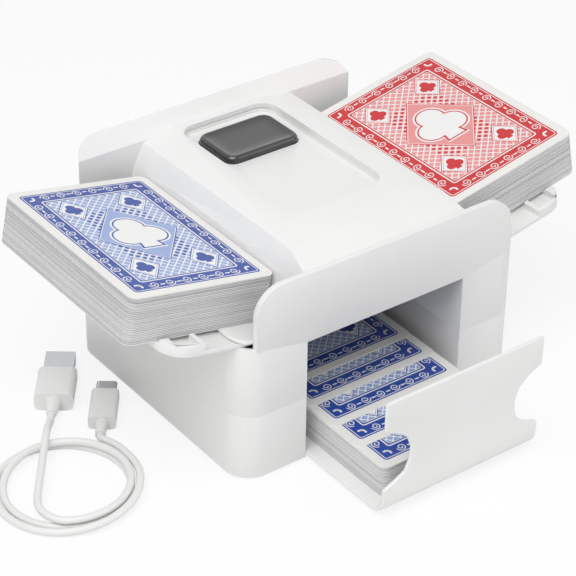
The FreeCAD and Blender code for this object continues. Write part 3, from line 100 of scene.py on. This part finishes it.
# size is the pattern's grain in millimetres; second is the colour that the slow drift mixes with the first
finishes = {
    # moulded ABS, satin: soft highlights, a faint grain from the spark-eroded mould
    "satinWhiteAbs": {"colour": "F0F0EF", "second": "EAEAE9", "roughness": 0.36, "spread": 0.08, "size": 0.5,
                      "bump": 0.012, "ior": 1.53},
    "mattWhiteAbs": {"colour": "E8E8E6", "second": "DEDEDC", "roughness": 0.55, "spread": 0.08, "size": 0.6,
                     "bump": 0.03, "ior": 1.53},
    # polished ABS, nearly black, sharp highlights on its rim
    "glossGreyAbs": {"colour": "232426", "second": "1C1D1F", "roughness": 0.16, "spread": 0.06, "size": 0.8,
                     "bump": 0.01, "ior": 1.53, "coat": 0.5},
    "naturalAcetal": {"colour": "E6E2D6", "second": "DAD5C6", "roughness": 0.42, "spread": 0.08, "size": 0.4,
                      "bump": 0.02, "ior": 1.48},
    "siliconeRubber": {"colour": "232323", "second": "1B1B1B", "roughness": 0.75, "spread": 0.1, "size": 0.3,
                       "bump": 0.08, "ior": 1.43},
    "drawnSteel": {"colour": "B4B6B9", "second": "A2A4A8", "roughness": 0.3, "spread": 0.12, "size": 0.25,
                   "bump": 0.03, "metallic": 1.0, "stretch": 8},
    "turnedBrass": {"colour": "C9A45C", "second": "B8924B", "roughness": 0.28, "spread": 0.1, "size": 0.2,
                    "bump": 0.03, "metallic": 1.0},
    "zincSteel": {"colour": "BDBEBF", "second": "A9ABAD", "roughness": 0.38, "spread": 0.12, "size": 1.5,
                  "bump": 0.02, "metallic": 1.0},
    "solderMask": {"colour": "0E5A34", "second": "0B4A2B", "roughness": 0.3, "spread": 0.1, "size": 0.8,
                   "bump": 0.02, "ior": 1.55},
    "shrinkWrap": {"colour": "2A5B9A", "second": "244F88", "roughness": 0.32, "spread": 0.1, "size": 2.0,
                   "bump": 0.04, "ior": 1.5},
    # soft PVC, satin, slightly uneven as extruded
    "softPvc": {"colour": "EDEDEC", "second": "E3E3E2", "roughness": 0.42, "spread": 0.08, "size": 0.7,
                "bump": 0.02, "ior": 1.52},
    "nickelPlate": {"colour": "C9CBCE", "second": "B9BCC0", "roughness": 0.2, "spread": 0.08, "size": 0.6,
                    "bump": 0.01, "metallic": 1.0},
    # coated card stock: a fine linen press that breaks up the highlight
    "cardPaper": {"colour": "F2F1EE", "second": "EAE9E6", "roughness": 0.42, "spread": 0.08, "size": 0.35,
                  "bump": 0.02, "ior": 1.5},
    # a grey copy of the card paper for every other card: painted shade standing in for the dark gaps between
    # the cards along a deck's edge
    "cardPaperPaintedShade": {"colour": "B9BBC0", "second": "AEB0B6", "roughness": 0.5, "spread": 0.08, "size": 0.35,
                      "bump": 0.02, "ior": 1.5},
    "cardInkWhite": {"colour": "F4F4F3", "second": "ECECEC", "roughness": 0.36, "spread": 0.06, "size": 0.35,
                     "bump": 0.02, "ior": 1.5},
    "cardInkBlue": {"colour": "2F4FA6", "second": "27449A", "roughness": 0.34, "spread": 0.06, "size": 0.35,
                    "bump": 0.02, "ior": 1.5},
    "cardInkPaleBlue": {"colour": "9FB2DE", "second": "93A8D8",
                        "roughness": 0.34, "spread": 0.06, "size": 0.35, "bump": 0.02, "ior": 1.5},
    "cardInkRed": {"colour": "D2282E", "second": "C62026", "roughness": 0.34, "spread": 0.06, "size": 0.35,
                   "bump": 0.02, "ior": 1.5},
    "cardInkPaleRed": {"colour": "EB9C9C", "second": "E69090",
                       "roughness": 0.34, "spread": 0.06, "size": 0.35, "bump": 0.02, "ior": 1.5},
}


def makeFinish(name, settings):
    material = bpy.data.materials.new(name)
    material.use_nodes = True
    tree = material.node_tree
    shader = tree.nodes["Principled BSDF"]
    shader.inputs["Metallic"].default_value = settings.get("metallic", 0.0)
    shader.inputs["IOR"].default_value = settings.get("ior", 1.5)
    shader.inputs["Coat Weight"].default_value = settings.get("coat", 0.0)
    place = addNode(tree, "ShaderNodeTexCoord").outputs["Object"]
    stretch = settings.get("stretch", 1)
    mapping = addNode(tree, "ShaderNodeMapping", links={"Vector": place, "Scale": (1, 1 / stretch, 1)})
    place = mapping.outputs[0]
    # the fine grain, and a slow drift across the moulding for colour and gloss
    grain = addNode(tree, "ShaderNodeTexNoise", links={"Vector": place, "Scale": 1 / (settings["size"] * mm),
                                                       "Detail": 2.0}).outputs["Fac"]
    drift = addNode(tree, "ShaderNodeTexNoise", links={"Vector": place, "Scale": 1 / (25 * mm),
                                                       "Detail": 3.0}).outputs["Fac"]
    colour = addNode(tree, "ShaderNodeMix", {"data_type": "RGBA"}, {0: drift}).inputs
    colour[6].default_value = toLinear(settings["colour"])
    colour[7].default_value = toLinear(settings["second"])
    tree.links.new(colour[0].node.outputs[2], shader.inputs["Base Color"])
    low = settings["roughness"] - settings["spread"] / 2
    rough = addNode(tree, "ShaderNodeMapRange", links={"Value": drift, "From Min": 0.3, "From Max": 0.7,
                                                       "To Min": low, "To Max": low + settings["spread"]})
    tree.links.new(rough.outputs[0], shader.inputs["Roughness"])
    bump = addNode(tree, "ShaderNodeBump", links={"Height": grain, "Distance": settings["bump"] * mm,
                                                  "Strength": 1.0})
    tree.links.new(bump.outputs[0], shader.inputs["Normal"])
    return material


finish = {name: makeFinish(name, settings) for name, settings in finishes.items()}
print("finishes made:", len(finish))


def wear(piece, name):
    piece.data.materials.clear()
    piece.data.materials.append(finish[name])


slotFinish = {"white_shell": "satinWhiteAbs", "white_inner": "mattWhiteAbs", "button_grey": "glossGreyAbs",
              "gear_acetal": "naturalAcetal", "rubber_grey": "siliconeRubber", "steel": "drawnSteel",
              "brass": "turnedBrass", "motor_steel": "zincSteel", "board_green": "solderMask",
              "cell_wrap": "shrinkWrap", "cards_blue": "cardPaper", "cards_red": "cardPaper",
              "cards_drawer": "cardPaper", "cable_white": "softPvc", "plug_metal": "nickelPlate"}
for entry in frame["record"]["subparts"]:
    wear(nodes[entry["node"]], slotFinish[entry["material_slot"]])


# a new object at the origin from a bmesh
def makePiece(name, shape, materials, body, smooth=True):
    mesh = bpy.data.meshes.new(name)
    shape.to_mesh(mesh)
    shape.free()
    piece = bpy.data.objects.new(name, mesh)
    bpy.context.scene.collection.objects.link(piece)
    if smooth:
        mesh.shade_smooth()
    for material in materials if isinstance(materials, (list, tuple)) else [materials]:
        mesh.materials.append(finish[material])
    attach(piece, body)
    return piece


# a merged copy of a CAD node, with its sharp edges rounded as a mould rounds them
def softened(node, body, material, width, angle=28, segments=3):
    shape = bmesh.new()
    shape.from_mesh(nodes[node].data)
    bmesh.ops.remove_doubles(shape, verts=shape.verts, dist=0.003 * mm)
    bmesh.ops.dissolve_limit(shape, angle_limit=math.radians(0.6), verts=shape.verts, edges=shape.edges)
    piece = makePiece(node + "Moulding", shape, material, body)
    bevel = piece.modifiers.new("roundedEdges", "BEVEL")
    bevel.width = width * mm
    bevel.segments = segments
    bevel.limit_method = "ANGLE"
    bevel.angle_limit = math.radians(angle)
    bevel.harden_normals = True
    bevel.use_clamp_overlap = True
    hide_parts(node)
    return piece


# rounded mouldings in place of the sharp CAD solids: node, body, finish and width of the rounding
mouldings = (
    ("base_housing", "housing", "satinWhiteAbs", 0.8),
    ("middle_housing", "housing", "satinWhiteAbs", 0.4),
    ("top_cover", "housing", "satinWhiteAbs", 1.4),
    ("right_card_tray", "housing", "satinWhiteAbs", 0.5),
    ("left_card_tray", "housing", "satinWhiteAbs", 0.5),
    ("right_card_rest", "right_rest", "satinWhiteAbs", 0.5),
    ("left_card_rest", "left_rest", "satinWhiteAbs", 0.5),
    ("drawer", "drawer_body", "satinWhiteAbs", 0.5),
)
for node, body, material, width in mouldings:
    softened(node, body, material, width)
print("mouldings rounded:", len(mouldings))

# playing cards, in their own frame: x across, y along, z up from the underside
card = {"width": 63.5, "length": 88.9, "corner": 3.5, "thickness": 0.31, "cornerSteps": 5, "ink": 0.02,
        "margin": 3.8, "borderWidth": 6.4, "untidy": 0.12, "parting": 0.03}


def roundedOutline(x0, x1, y0, y1, radius, steps=5):
    points = []
    for cx, cy, turn in ((x1 - radius, y1 - radius, 0), (x0 + radius, y1 - radius, 1),
                         (x0 + radius, y0 + radius, 2), (x1 - radius, y0 + radius, 3)):
        for step in range(steps + 1):
            angle = (turn + step / steps) * math.pi / 2
            points.append((cx + radius * math.cos(angle), cy + radius * math.sin(angle)))
    return points


# a closed prism over an outline that runs anticlockwise
def addPrism(shape, points, low, high, place, slot=0):
    bottom = [shape.verts.new(place @ Vector((x * mm, y * mm, low * mm))) for x, y in points]
    top = [shape.verts.new(place @ Vector((x * mm, y * mm, high * mm))) for x, y in points]
    faces = [shape.faces.new(top), shape.faces.new(list(reversed(bottom)))]
    for here in range(len(points)):
        after = (here + 1) % len(points)
        faces.append(shape.faces.new((bottom[here], bottom[after], top[after], top[here])))
    for face in faces:
        face.material_index = slot


# a closed ribbon of even width along a line of points
def addRibbon(shape, points, width, low, high, place, slot=0, closed=False):
    count = len(points)
    rails = []
    for here in range(count):
        before = points[here - 1] if closed or here else points[0]
        after = points[(here + 1) % count] if closed or here < count - 1 else points[-1]
        along = Vector((after[0] - before[0], after[1] - before[1], 0)).normalized()
        side = Vector((-along.y, along.x, 0)) * width / 2
        middle = Vector((points[here][0], points[here][1], 0))
        rails.append([shape.verts.new(place @ ((middle + offset + Vector((0, 0, height))) * mm))
                      for offset, height in ((side, high), (-side, high), (-side, low), (side, low))])
    spans = range(count) if closed else range(count - 1)
    faces = []
    for here in spans:
        one, two = rails[here], rails[(here + 1) % count]
        for corner in range(4):
            other = (corner + 1) % 4
            faces.append(shape.faces.new((one[corner], one[other], two[other], two[corner])))
    if not closed:
        faces.append(shape.faces.new(list(reversed(rails[0]))))
        faces.append(shape.faces.new(rails[-1]))
    for face in faces:
        face.material_index = slot


def circleOutline(x, y, radius, steps=20, stretch=1.0):
    return [(x + radius * math.cos(2 * math.pi * step / steps),
             y + radius * stretch * math.sin(2 * math.pi * step / steps)) for step in range(steps)]


# a club's outline: three lobes and a stem, seen round from the club's middle
clubShape = {"lobes": ((0, 0.24), (-0.235, -0.12), (0.235, -0.12)), "lobe": 0.27, "foot": 0.55,
             "spread": 0.22, "steps": 96}


def addClub(shape, x, y, size, low, high, place, slot, grow=0.0):
    lobe, foot = clubShape["lobe"] * size + grow, clubShape["foot"] * size + grow
    lean = (clubShape["spread"] * size + grow) / foot
    points = []
    for step in range(clubShape["steps"]):
        angle = 2 * math.pi * step / clubShape["steps"]
        wayX, wayY = math.cos(angle), math.sin(angle)
        reach = 0
        for dx, dy in clubShape["lobes"]:
            along = (dx * wayX + dy * wayY) * size
            aside = (dx * dx + dy * dy) * size * size - along * along
            if lobe * lobe > aside:
                reach = max(reach, along + math.sqrt(lobe * lobe - aside))
        if wayY < 0 and abs(wayX) <= -wayY * lean:
            reach = max(reach, -foot / wayY)
        points.append((x + reach * wayX, y + reach * wayY))
    addPrism(shape, points, low, high, place, slot)


# the part of a sloping line inside a rectangle about the middle
def clippedLine(offset, direction, halfX, halfY):
    inside = []
    samples = 400
    fewest = 8
    for step in range(samples + 1):
        x = -halfX + 2 * halfX * step / samples
        y = direction * x + offset
        if abs(y) <= halfY:
            inside.append((x, y))
    return (inside[0], inside[-1]) if len(inside) > fewest else None


# a printed back: lines and shapes in millimetres, from the card's middle
back = {
    "fieldCorner": 1.6, "lineCorner": 1.0, "sunk": 0.05,
    "outerLine": {"inset": 0.8, "width": 0.35},
    "innerLine": {"width": 0.6},
    "fineLine": {"inset": 1.1, "width": 0.25},
    "lattice": {"inset": 1.3, "corner": 0.6, "lift": 0.005, "spacing": 3.6, "width": 0.5, "stagger": 0.004,
                "dotInset": 2.4, "dot": 0.75, "columns": 7, "rows": 11},
    "scroll": {"acrossUnits": 6, "alongUnits": 9, "dots": 18, "turns": 3.1, "radius": 2.15, "shrink": 0.82,
               "width": 0.42, "inset": 0.2},
    "petal": {"leans": (-0.63, 0, 0.63), "out": 0.5, "radius": 0.42},
    "palmette": {"inset": 3.3, "leaves": 5, "fan": 0.55, "reach": 1.5, "radius": 0.55},
    "lozenge": {"insetX": 8.2, "insetY": 9.8, "squeeze": 0.8, "club": 7.4, "clubRise": 0.3,
                "layers": ((8.4, 0, 0), (7.9, 0.01, 1), (7.2, 0.02, 2), (6.8, 0.03, 1)), "clubLift": 0.04},
    "middle": {"frameX": 17, "frameY": 21, "stretch": 1.2, "club": 22, "clubRise": 1.2, "clubLift": 0.075,
               "frames": ((0.9, 0.035, 0), (0.4, 0.045, 1), (0, 0.055, 2)),
               "clubs": ((1.3, 1), (0.5, 0), (-0.15, 1)), "fall": 0.01},
}


def addDiamond(shape, x, y, halfX, halfY, low, high, place, slot):
    addPrism(shape, [(x + halfX, y), (x, y + halfY), (x - halfX, y), (x, y - halfY)], low, high, place, slot)


def addLattice(shape, placed, innerX, innerY, top):
    lattice = back["lattice"]
    x, y = innerX - lattice["inset"], innerY - lattice["inset"]
    field, detail, fine = (top + layers * card["ink"] for layers in (1, 2, 3))
    outline = roundedOutline(-x, x, -y, y, lattice["corner"])
    addPrism(shape, outline, top - back["sunk"], field + lattice["lift"], placed, 2)
    count = int((innerY + innerX) / lattice["spacing"])
    for number in range(-count, count + 1):
        for direction in (1, -1):
            ends = clippedLine(number * lattice["spacing"], direction, x, y)
            if ends:
                # the lines of one direction lie a hair above those of the other
                height = detail + lattice["stagger"] * direction
                addRibbon(shape, ends, lattice["width"], top, height, placed, 1)
    for column in range(-lattice["columns"], lattice["columns"] + 1):
        for row in range(-lattice["rows"], lattice["rows"] + 1):
            x, y = column * lattice["spacing"] / 2, row * lattice["spacing"] / 2
            inside = abs(x) < innerX - lattice["dotInset"] and abs(y) < innerY - lattice["dotInset"]
            if (column + row) % 2 and inside:
                addPrism(shape, circleOutline(x, y, lattice["dot"], 8), top, fine, placed, 0)


# scrolls along the border, turned back and forth, with petals between them
def addScrolls(shape, placed, innerX, innerY, top):
    scroll, petal = back["scroll"], back["petal"]
    detail = top + 2 * card["ink"]
    for alongX in (True, False):
        length = (innerX if alongX else innerY) * 2
        units = scroll["acrossUnits"] if alongX else scroll["alongUnits"]
        band = (innerY if alongX else innerX) + card["borderWidth"] / 2 - scroll["inset"]
        step = length / units

        def spotAt(run, across):
            return (run, across) if alongX else (across, run)

        for unit in range(units):
            centre = -length / 2 + (unit + 0.5) * step
            turn = 1 if unit % 2 else -1
            for end in (-1, 1):
                spiral = []
                for dot in range(scroll["dots"] + 1):
                    share = dot / scroll["dots"]
                    angle = share * scroll["turns"] * math.pi
                    radius = scroll["radius"] * (1 - scroll["shrink"] * share)
                    u, v = turn * radius * math.cos(angle), radius * math.sin(angle)
                    spiral.append(spotAt(centre + u, end * band + end * v))
                addRibbon(shape, spiral, scroll["width"], top, detail, placed, 1)
                between = centre + step / 2
                if abs(between) < length / 2:
                    for lean in petal["leans"]:
                        x, y = spotAt(between + lean, end * band + petal["out"] * end)
                        addPrism(shape, circleOutline(x, y, petal["radius"], 8), top, detail, placed, 1)


# palmettes in the border's corners, and lozenges with a small club in the field's corners
def addCorners(shape, placed, halfX, halfY, innerX, innerY, top):
    palmette, lozenge = back["palmette"], back["lozenge"]
    detail, fine = top + 2 * card["ink"], top + 3 * card["ink"]
    for sideX in (-1, 1):
        for sideY in (-1, 1):
            cornerX, cornerY = sideX * (halfX - palmette["inset"]), sideY * (halfY - palmette["inset"])
            for leaf in range(palmette["leaves"]):
                angle = math.atan2(-sideY, -sideX) + (leaf - palmette["leaves"] // 2) * palmette["fan"]
                x = cornerX + palmette["reach"] * math.cos(angle)
                y = cornerY + palmette["reach"] * math.sin(angle)
                addPrism(shape, circleOutline(x, y, palmette["radius"], 10), top, detail, placed, 1)
            x, y = sideX * (innerX - lozenge["insetX"]), sideY * (innerY - lozenge["insetY"])
            for size, lift, slot in lozenge["layers"]:
                addDiamond(shape, x, y, size * lozenge["squeeze"], size, top, fine + lift, placed, slot)
            high = fine + lozenge["clubLift"]
            addClub(shape, x, y + lozenge["clubRise"], lozenge["club"], top, high, placed, 0)


# one printed back on the face at height top; slots: 0 field, 1 white, 2 pale
def addBack(shape, place, top):
    middleX, middleY = card["width"] / 2, card["length"] / 2
    placed = place @ Matrix.Translation((middleX * mm, middleY * mm, 0))
    halfX, halfY = middleX - card["margin"], middleY - card["margin"]
    innerX, innerY = halfX - card["borderWidth"], halfY - card["borderWidth"]
    field, detail, fine = (top + layers * card["ink"] for layers in (1, 2, 3))
    outline = roundedOutline(-halfX, halfX, -halfY, halfY, back["fieldCorner"])
    addPrism(shape, outline, top - back["sunk"], field, placed, 0)
    outer, fineInset = back["outerLine"]["inset"], back["fineLine"]["inset"]
    for x, y, line in ((halfX - outer, halfY - outer, "outerLine"), (innerX, innerY, "innerLine"),
                       (innerX - fineInset, innerY - fineInset, "fineLine")):
        outline = roundedOutline(-x, x, -y, y, back["lineCorner"])
        addRibbon(shape, outline, back[line]["width"], top, detail, placed, 1, closed=True)
    addLattice(shape, placed, innerX, innerY, top)
    addScrolls(shape, placed, innerX, innerY, top)
    addCorners(shape, placed, halfX, halfY, innerX, innerY, top)
    # the large club in the middle, in a frame of lines
    middle = back["middle"]
    for grow, lift, slot in middle["frames"]:
        addDiamond(shape, 0, 0, middle["frameX"] + grow, middle["frameY"] + grow * middle["stretch"], top,
                   fine + lift, placed, slot)
    for grow, slot in middle["clubs"]:
        high = fine + middle["clubLift"] - middle["fall"] * grow
        addClub(shape, 0, middle["clubRise"], middle["club"], top, high, placed, slot, grow=grow)


# a squared-up deck of separate cards
def makeDeck(name, place, count, pitch, body, node, inks, seed):
    shuffle = random.Random(seed)
    shape = bmesh.new()
    outline = roundedOutline(0, card["width"], 0, card["length"], card["corner"], card["cornerSteps"])
    for number in range(count):
        shiftX, shiftY = (shuffle.uniform(-card["untidy"], card["untidy"]) for axis in range(2))
        last = number == count - 1
        if last:
            shiftX = shiftY = 0
        points = [(x + shiftX, y + shiftY) for x, y in outline]
        low = number * pitch
        high = count * pitch if last else low + min(card["thickness"], pitch - card["parting"])
        # every other card below the top one takes the grey copy of the paper: painted shade for the gaps
        # between cards on the deck's edge
        addPrism(shape, points, low, high, place, slot=number % 2 if not last else 0)
    deck = makePiece(name, shape, ("cardPaper", "cardPaperPaintedShade"), body, smooth=False)
    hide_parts(node)
    shape = bmesh.new()
    addBack(shape, place, count * pitch)
    makePiece(name + "Back", shape, inks, body, smooth=False)


# the right tray's slope, the inner lower edge of its deck, and the decks' cards
tray = {"slope": 0.2035, "deckFoot": (46.039, 0, 59.436), "deckThickness": 19.2, "cards": 54,
        "stackCards": 40}
slope = math.atan(tray["slope"])
cosine, sine = math.cos(slope), math.sin(slope)
deckFoot = Vector(tray["deckFoot"])
deckPitch = tray["deckThickness"] / tray["cards"]


def frameOf(origin, xAxis, yAxis):
    zAxis = xAxis.cross(yAxis)
    turn = Matrix((xAxis, yAxis, zAxis)).transposed().to_4x4()
    return Matrix.Translation(origin * mm) @ turn


blueInks = ("cardInkBlue", "cardInkWhite", "cardInkPaleBlue")
redInks = ("cardInkRed", "cardInkWhite", "cardInkPaleRed")
halfLength = Vector((0, -card["length"] / 2, 0))
rightPlace = frameOf(deckFoot + halfLength, Vector((cosine, 0, sine)), Vector((0, 1, 0)))
leftInner = Vector((-deckFoot.x, 0, deckFoot.z))
leftOuter = leftInner + Vector((-cosine, 0, sine)) * card["width"]
leftPlace = frameOf(leftOuter + halfLength, Vector((cosine, 0, -sine)), Vector((0, 1, 0)))
makeDeck("rightDeck", rightPlace, tray["cards"], deckPitch, "right_deck", "right_card_deck", redInks, 3)
makeDeck("leftDeck", leftPlace, tray["cards"], deckPitch, "left_deck", "left_card_deck", blueInks, 5)
stackLow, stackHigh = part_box("drawer_card_stack")
stackPlace = Matrix.Translation((stackLow[0], stackLow[1], stackLow[2]))
stackPitch = (stackHigh[2] - stackLow[2]) / mm / tray["stackCards"]
makeDeck("drawerStack", stackPlace, tray["stackCards"], stackPitch, "drawer_body", "drawer_card_stack",
         blueInks, 7)
for number in (1, 2, 3, 4):
    low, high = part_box(f"fanned_card_{number}")
    shape = bmesh.new()
    addBack(shape, Matrix.Translation((low[0], low[1], high[2])), 0)
    makePiece(f"fannedCardBack{number}", shape, blueInks, f"fanned_card_{number}_body", smooth=False)
print("cards made")

# the start button: a flange, steep sides, a rounded rim and a dished top; heights from its underside
button = {"flange": 1.5, "flangeReach": 1.2, "flangeTop": 1.3, "corner": 4.5, "leastCorner": 1.2,
          "tighten": 0.6, "rounding": 0.12, "steps": 10,
          "rings": ((0.05, 1.35), (0.05, 4.9), (0.3, 5.5), (0.8, 6.1), (1.25, 6.35), (1.8, 6.3), (2.6, 6.05),
                    (3.8, 5.85), (5.4, 5.72), (7.4, 5.65))}


def makeButton():
    low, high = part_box("start_button")
    flange = button["flange"]
    x0, x1 = low[0] / mm + flange, high[0] / mm - flange
    y0, y1 = low[1] / mm + flange, high[1] / mm - flange
    shape = bmesh.new()
    loops = []
    reach = button["flangeReach"]
    for inset, height in ((-reach, 0), (-reach, button["flangeTop"])) + button["rings"]:
        radius = max(button["corner"] - inset * button["tighten"], button["leastCorner"])
        outline = roundedOutline(x0 + inset, x1 - inset, y0 + inset, y1 - inset, radius, button["steps"])
        loops.append([shape.verts.new((x * mm, y * mm, low[2] + height * mm)) for x, y in outline])
    for one, two in zip(loops, loops[1:]):
        for here in range(len(one)):
            after = (here + 1) % len(one)
            shape.faces.new((one[here], one[after], two[after], two[here]))
    shape.faces.new(list(reversed(loops[0])))
    shape.faces.new(loops[-1])
    piece = makePiece("dishedButton", shape, "glossGreyAbs", "start_button_body")
    bevel = piece.modifiers.new("rimRounding", "BEVEL")
    bevel.width = button["rounding"] * mm
    bevel.segments = 2
    bevel.limit_method = "ANGLE"
    bevel.angle_limit = math.radians(35)
    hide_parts("start_button")


makeButton()
print("button made")

# the charging cable: one soft cord in a coil of under three turns, with a plug at each end
cable = {"centre": (-122, -22), "diameter": 3.0, "way": (0.6, 0.8), "side": (0.8, -0.6), "turnPoints": 20,
         "inner": 24.0, "outer": 27.5, "low": 1.5, "high": 4.55, "startAngle": 175, "sweep": 837,
         "outward": (500, 590), "down": (215, 290), "up": (700, 800),
         "length": 0.463}


# a point given along the plugs' direction, to its right and up, from the coil's middle
def onCord(along, aside, height):
    way, side, centre = cable["way"], cable["side"], cable["centre"]
    return Vector((centre[0] + way[0] * along + side[0] * aside,
                   centre[1] + way[1] * along + side[1] * aside, height)) * mm


# how far a swept angle is from start to end, from 0 to 1
def shareOf(angle, start, end):
    return min(1, max(0, (angle - start) / (end - start)))


# out of the larger plug, over the coil's near edge, and down into its far side
leadIn = ((42, -10, 4), (39, -10, 4), (36.5, -10, 4.2), (31.5, -10, 6.4), (26.5, -10, 8.3), (21, -10, 8.2),
          (14, -10, 7.3), (7, -10, 6.5), (0, -10, 5.8), (-6, -10, 5.2), (-12, -9.9, 4.8), (-17, -8.8, 4.7),
          (-21, -5.6, 4.6), (-23.4, -1.6, 4.55))
# off the outermost turn and into the smaller plug
leadOut = ((20.9, 18.5, 4.5), (24.2, 14.1, 4.45), (26.8, 10.9, 3.9), (28.6, 10, 3.3), (30, 10, 3.1))


def makeCable():
    points = [onCord(*spot) for spot in leadIn]
    step = 360 / cable["turnPoints"]
    reach = 1 / math.cos(math.pi / cable["turnPoints"])
    for number in range(int(cable["sweep"] / step) + 1):
        swept = number * step
        angle = math.radians(cable["startAngle"] - swept)
        outward = shareOf(swept, *cable["outward"])
        radius = reach * (cable["inner"] + (cable["outer"] - cable["inner"]) * outward)
        drop = shareOf(swept, *cable["down"]) - shareOf(swept, *cable["up"])
        height = cable["high"] - (cable["high"] - cable["low"]) * drop
        points.append(onCord(radius * math.cos(angle), radius * math.sin(angle), height))
    points += [onCord(*spot) for spot in leadOut]
    curve = bpy.data.curves.new("chargingCable", "CURVE")
    curve.dimensions = "3D"
    curve.bevel_depth = cable["diameter"] / 2 * mm
    curve.bevel_resolution = 5
    curve.resolution_u = 6
    curve.use_fill_caps = True
    spline = curve.splines.new("NURBS")
    spline.points.add(len(points) - 1)
    for point, spot in zip(spline.points, points):
        point.co = (*spot, 1)
    spline.order_u = 3
    spline.use_endpoint_u = True
    curve.materials.append(finish["softPvc"])
    piece = bpy.data.objects.new("chargingCable", curve)
    bpy.context.scene.collection.objects.link(piece)
    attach(piece, "charging_cable")
    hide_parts("cable_coil", "charging_leads")


makeCable()
print("cable laid")

# floor and light
studio = {"floor": "F7F7F7", "floorWhite": 0.8, "keyPower": 8.6, "fillPower": 2.2, "world": 0.5}


def makeStudio():
    shape = bmesh.new()
    bmesh.ops.create_grid(shape, x_segments=1, y_segments=1, size=3)
    mesh = bpy.data.meshes.new("studioFloor")
    shape.to_mesh(mesh)
    shape.free()
    floor = bpy.data.objects.new("studioFloor", mesh)
    bpy.context.scene.collection.objects.link(floor)
    material = bpy.data.materials.new("whitePaperFloor")
    material.use_nodes = True
    tree = material.node_tree
    shader = tree.nodes["Principled BSDF"]
    shader.inputs["Base Color"].default_value = toLinear(studio["floor"])
    shader.inputs["Roughness"].default_value = 0.9
    shader.inputs["Specular IOR Level"].default_value = 0.1
    white = addNode(tree, "ShaderNodeEmission", links={"Color": (1, 1, 1, 1), "Strength": 1.0})
    seen = addNode(tree, "ShaderNodeLightPath").outputs["Is Camera Ray"]
    share = addNode(tree, "ShaderNodeMath", {"operation": "MULTIPLY"}, {0: seen, 1: studio["floorWhite"]})
    mixed = addNode(tree, "ShaderNodeMixShader", links={0: share.outputs[0], 1: shader.outputs[0],
                                                        2: white.outputs[0]})
    tree.links.new(mixed.outputs[0], tree.nodes["Material Output"].inputs["Surface"])
    mesh.materials.append(material)

    world = bpy.data.worlds.new("studioWorld")
    bpy.context.scene.world = world
    world.use_nodes = True
    tree = world.node_tree
    background = tree.nodes["Background"]
    path = addNode(tree, "ShaderNodeLightPath")
    sharp = addNode(tree, "ShaderNodeMath", {"operation": "MAXIMUM"},
                    {0: path.outputs["Is Camera Ray"], 1: path.outputs["Is Glossy Ray"]})
    level = addNode(tree, "ShaderNodeMapRange", links={"Value": sharp.outputs[0], "To Min": studio["world"],
                                                       "To Max": 1.0})
    tree.links.new(level.outputs[0], background.inputs["Strength"])
    background.inputs["Color"].default_value = (1, 1, 1, 1)

    for name, place, size, power in (
            ("keySoftbox", (-0.5, -0.35, 1.1), 0.9, studio["keyPower"]),
            ("fillSoftbox", (0.9, -0.9, 0.7), 0.9, studio["fillPower"])):
        data = bpy.data.lights.new(name, "AREA")
        data.energy = power
        data.size = size
        lamp = bpy.data.objects.new(name, data)
        bpy.context.scene.collection.objects.link(lamp)
        lamp.location = place
        lamp.rotation_mode = "QUATERNION"
        lamp.rotation_quaternion = (Vector((0, 0, 0.04)) - Vector(place)).to_track_quat("-Z", "Y")
    bpy.context.scene.view_settings.view_transform = "Standard"


makeStudio()
print("studio lit")
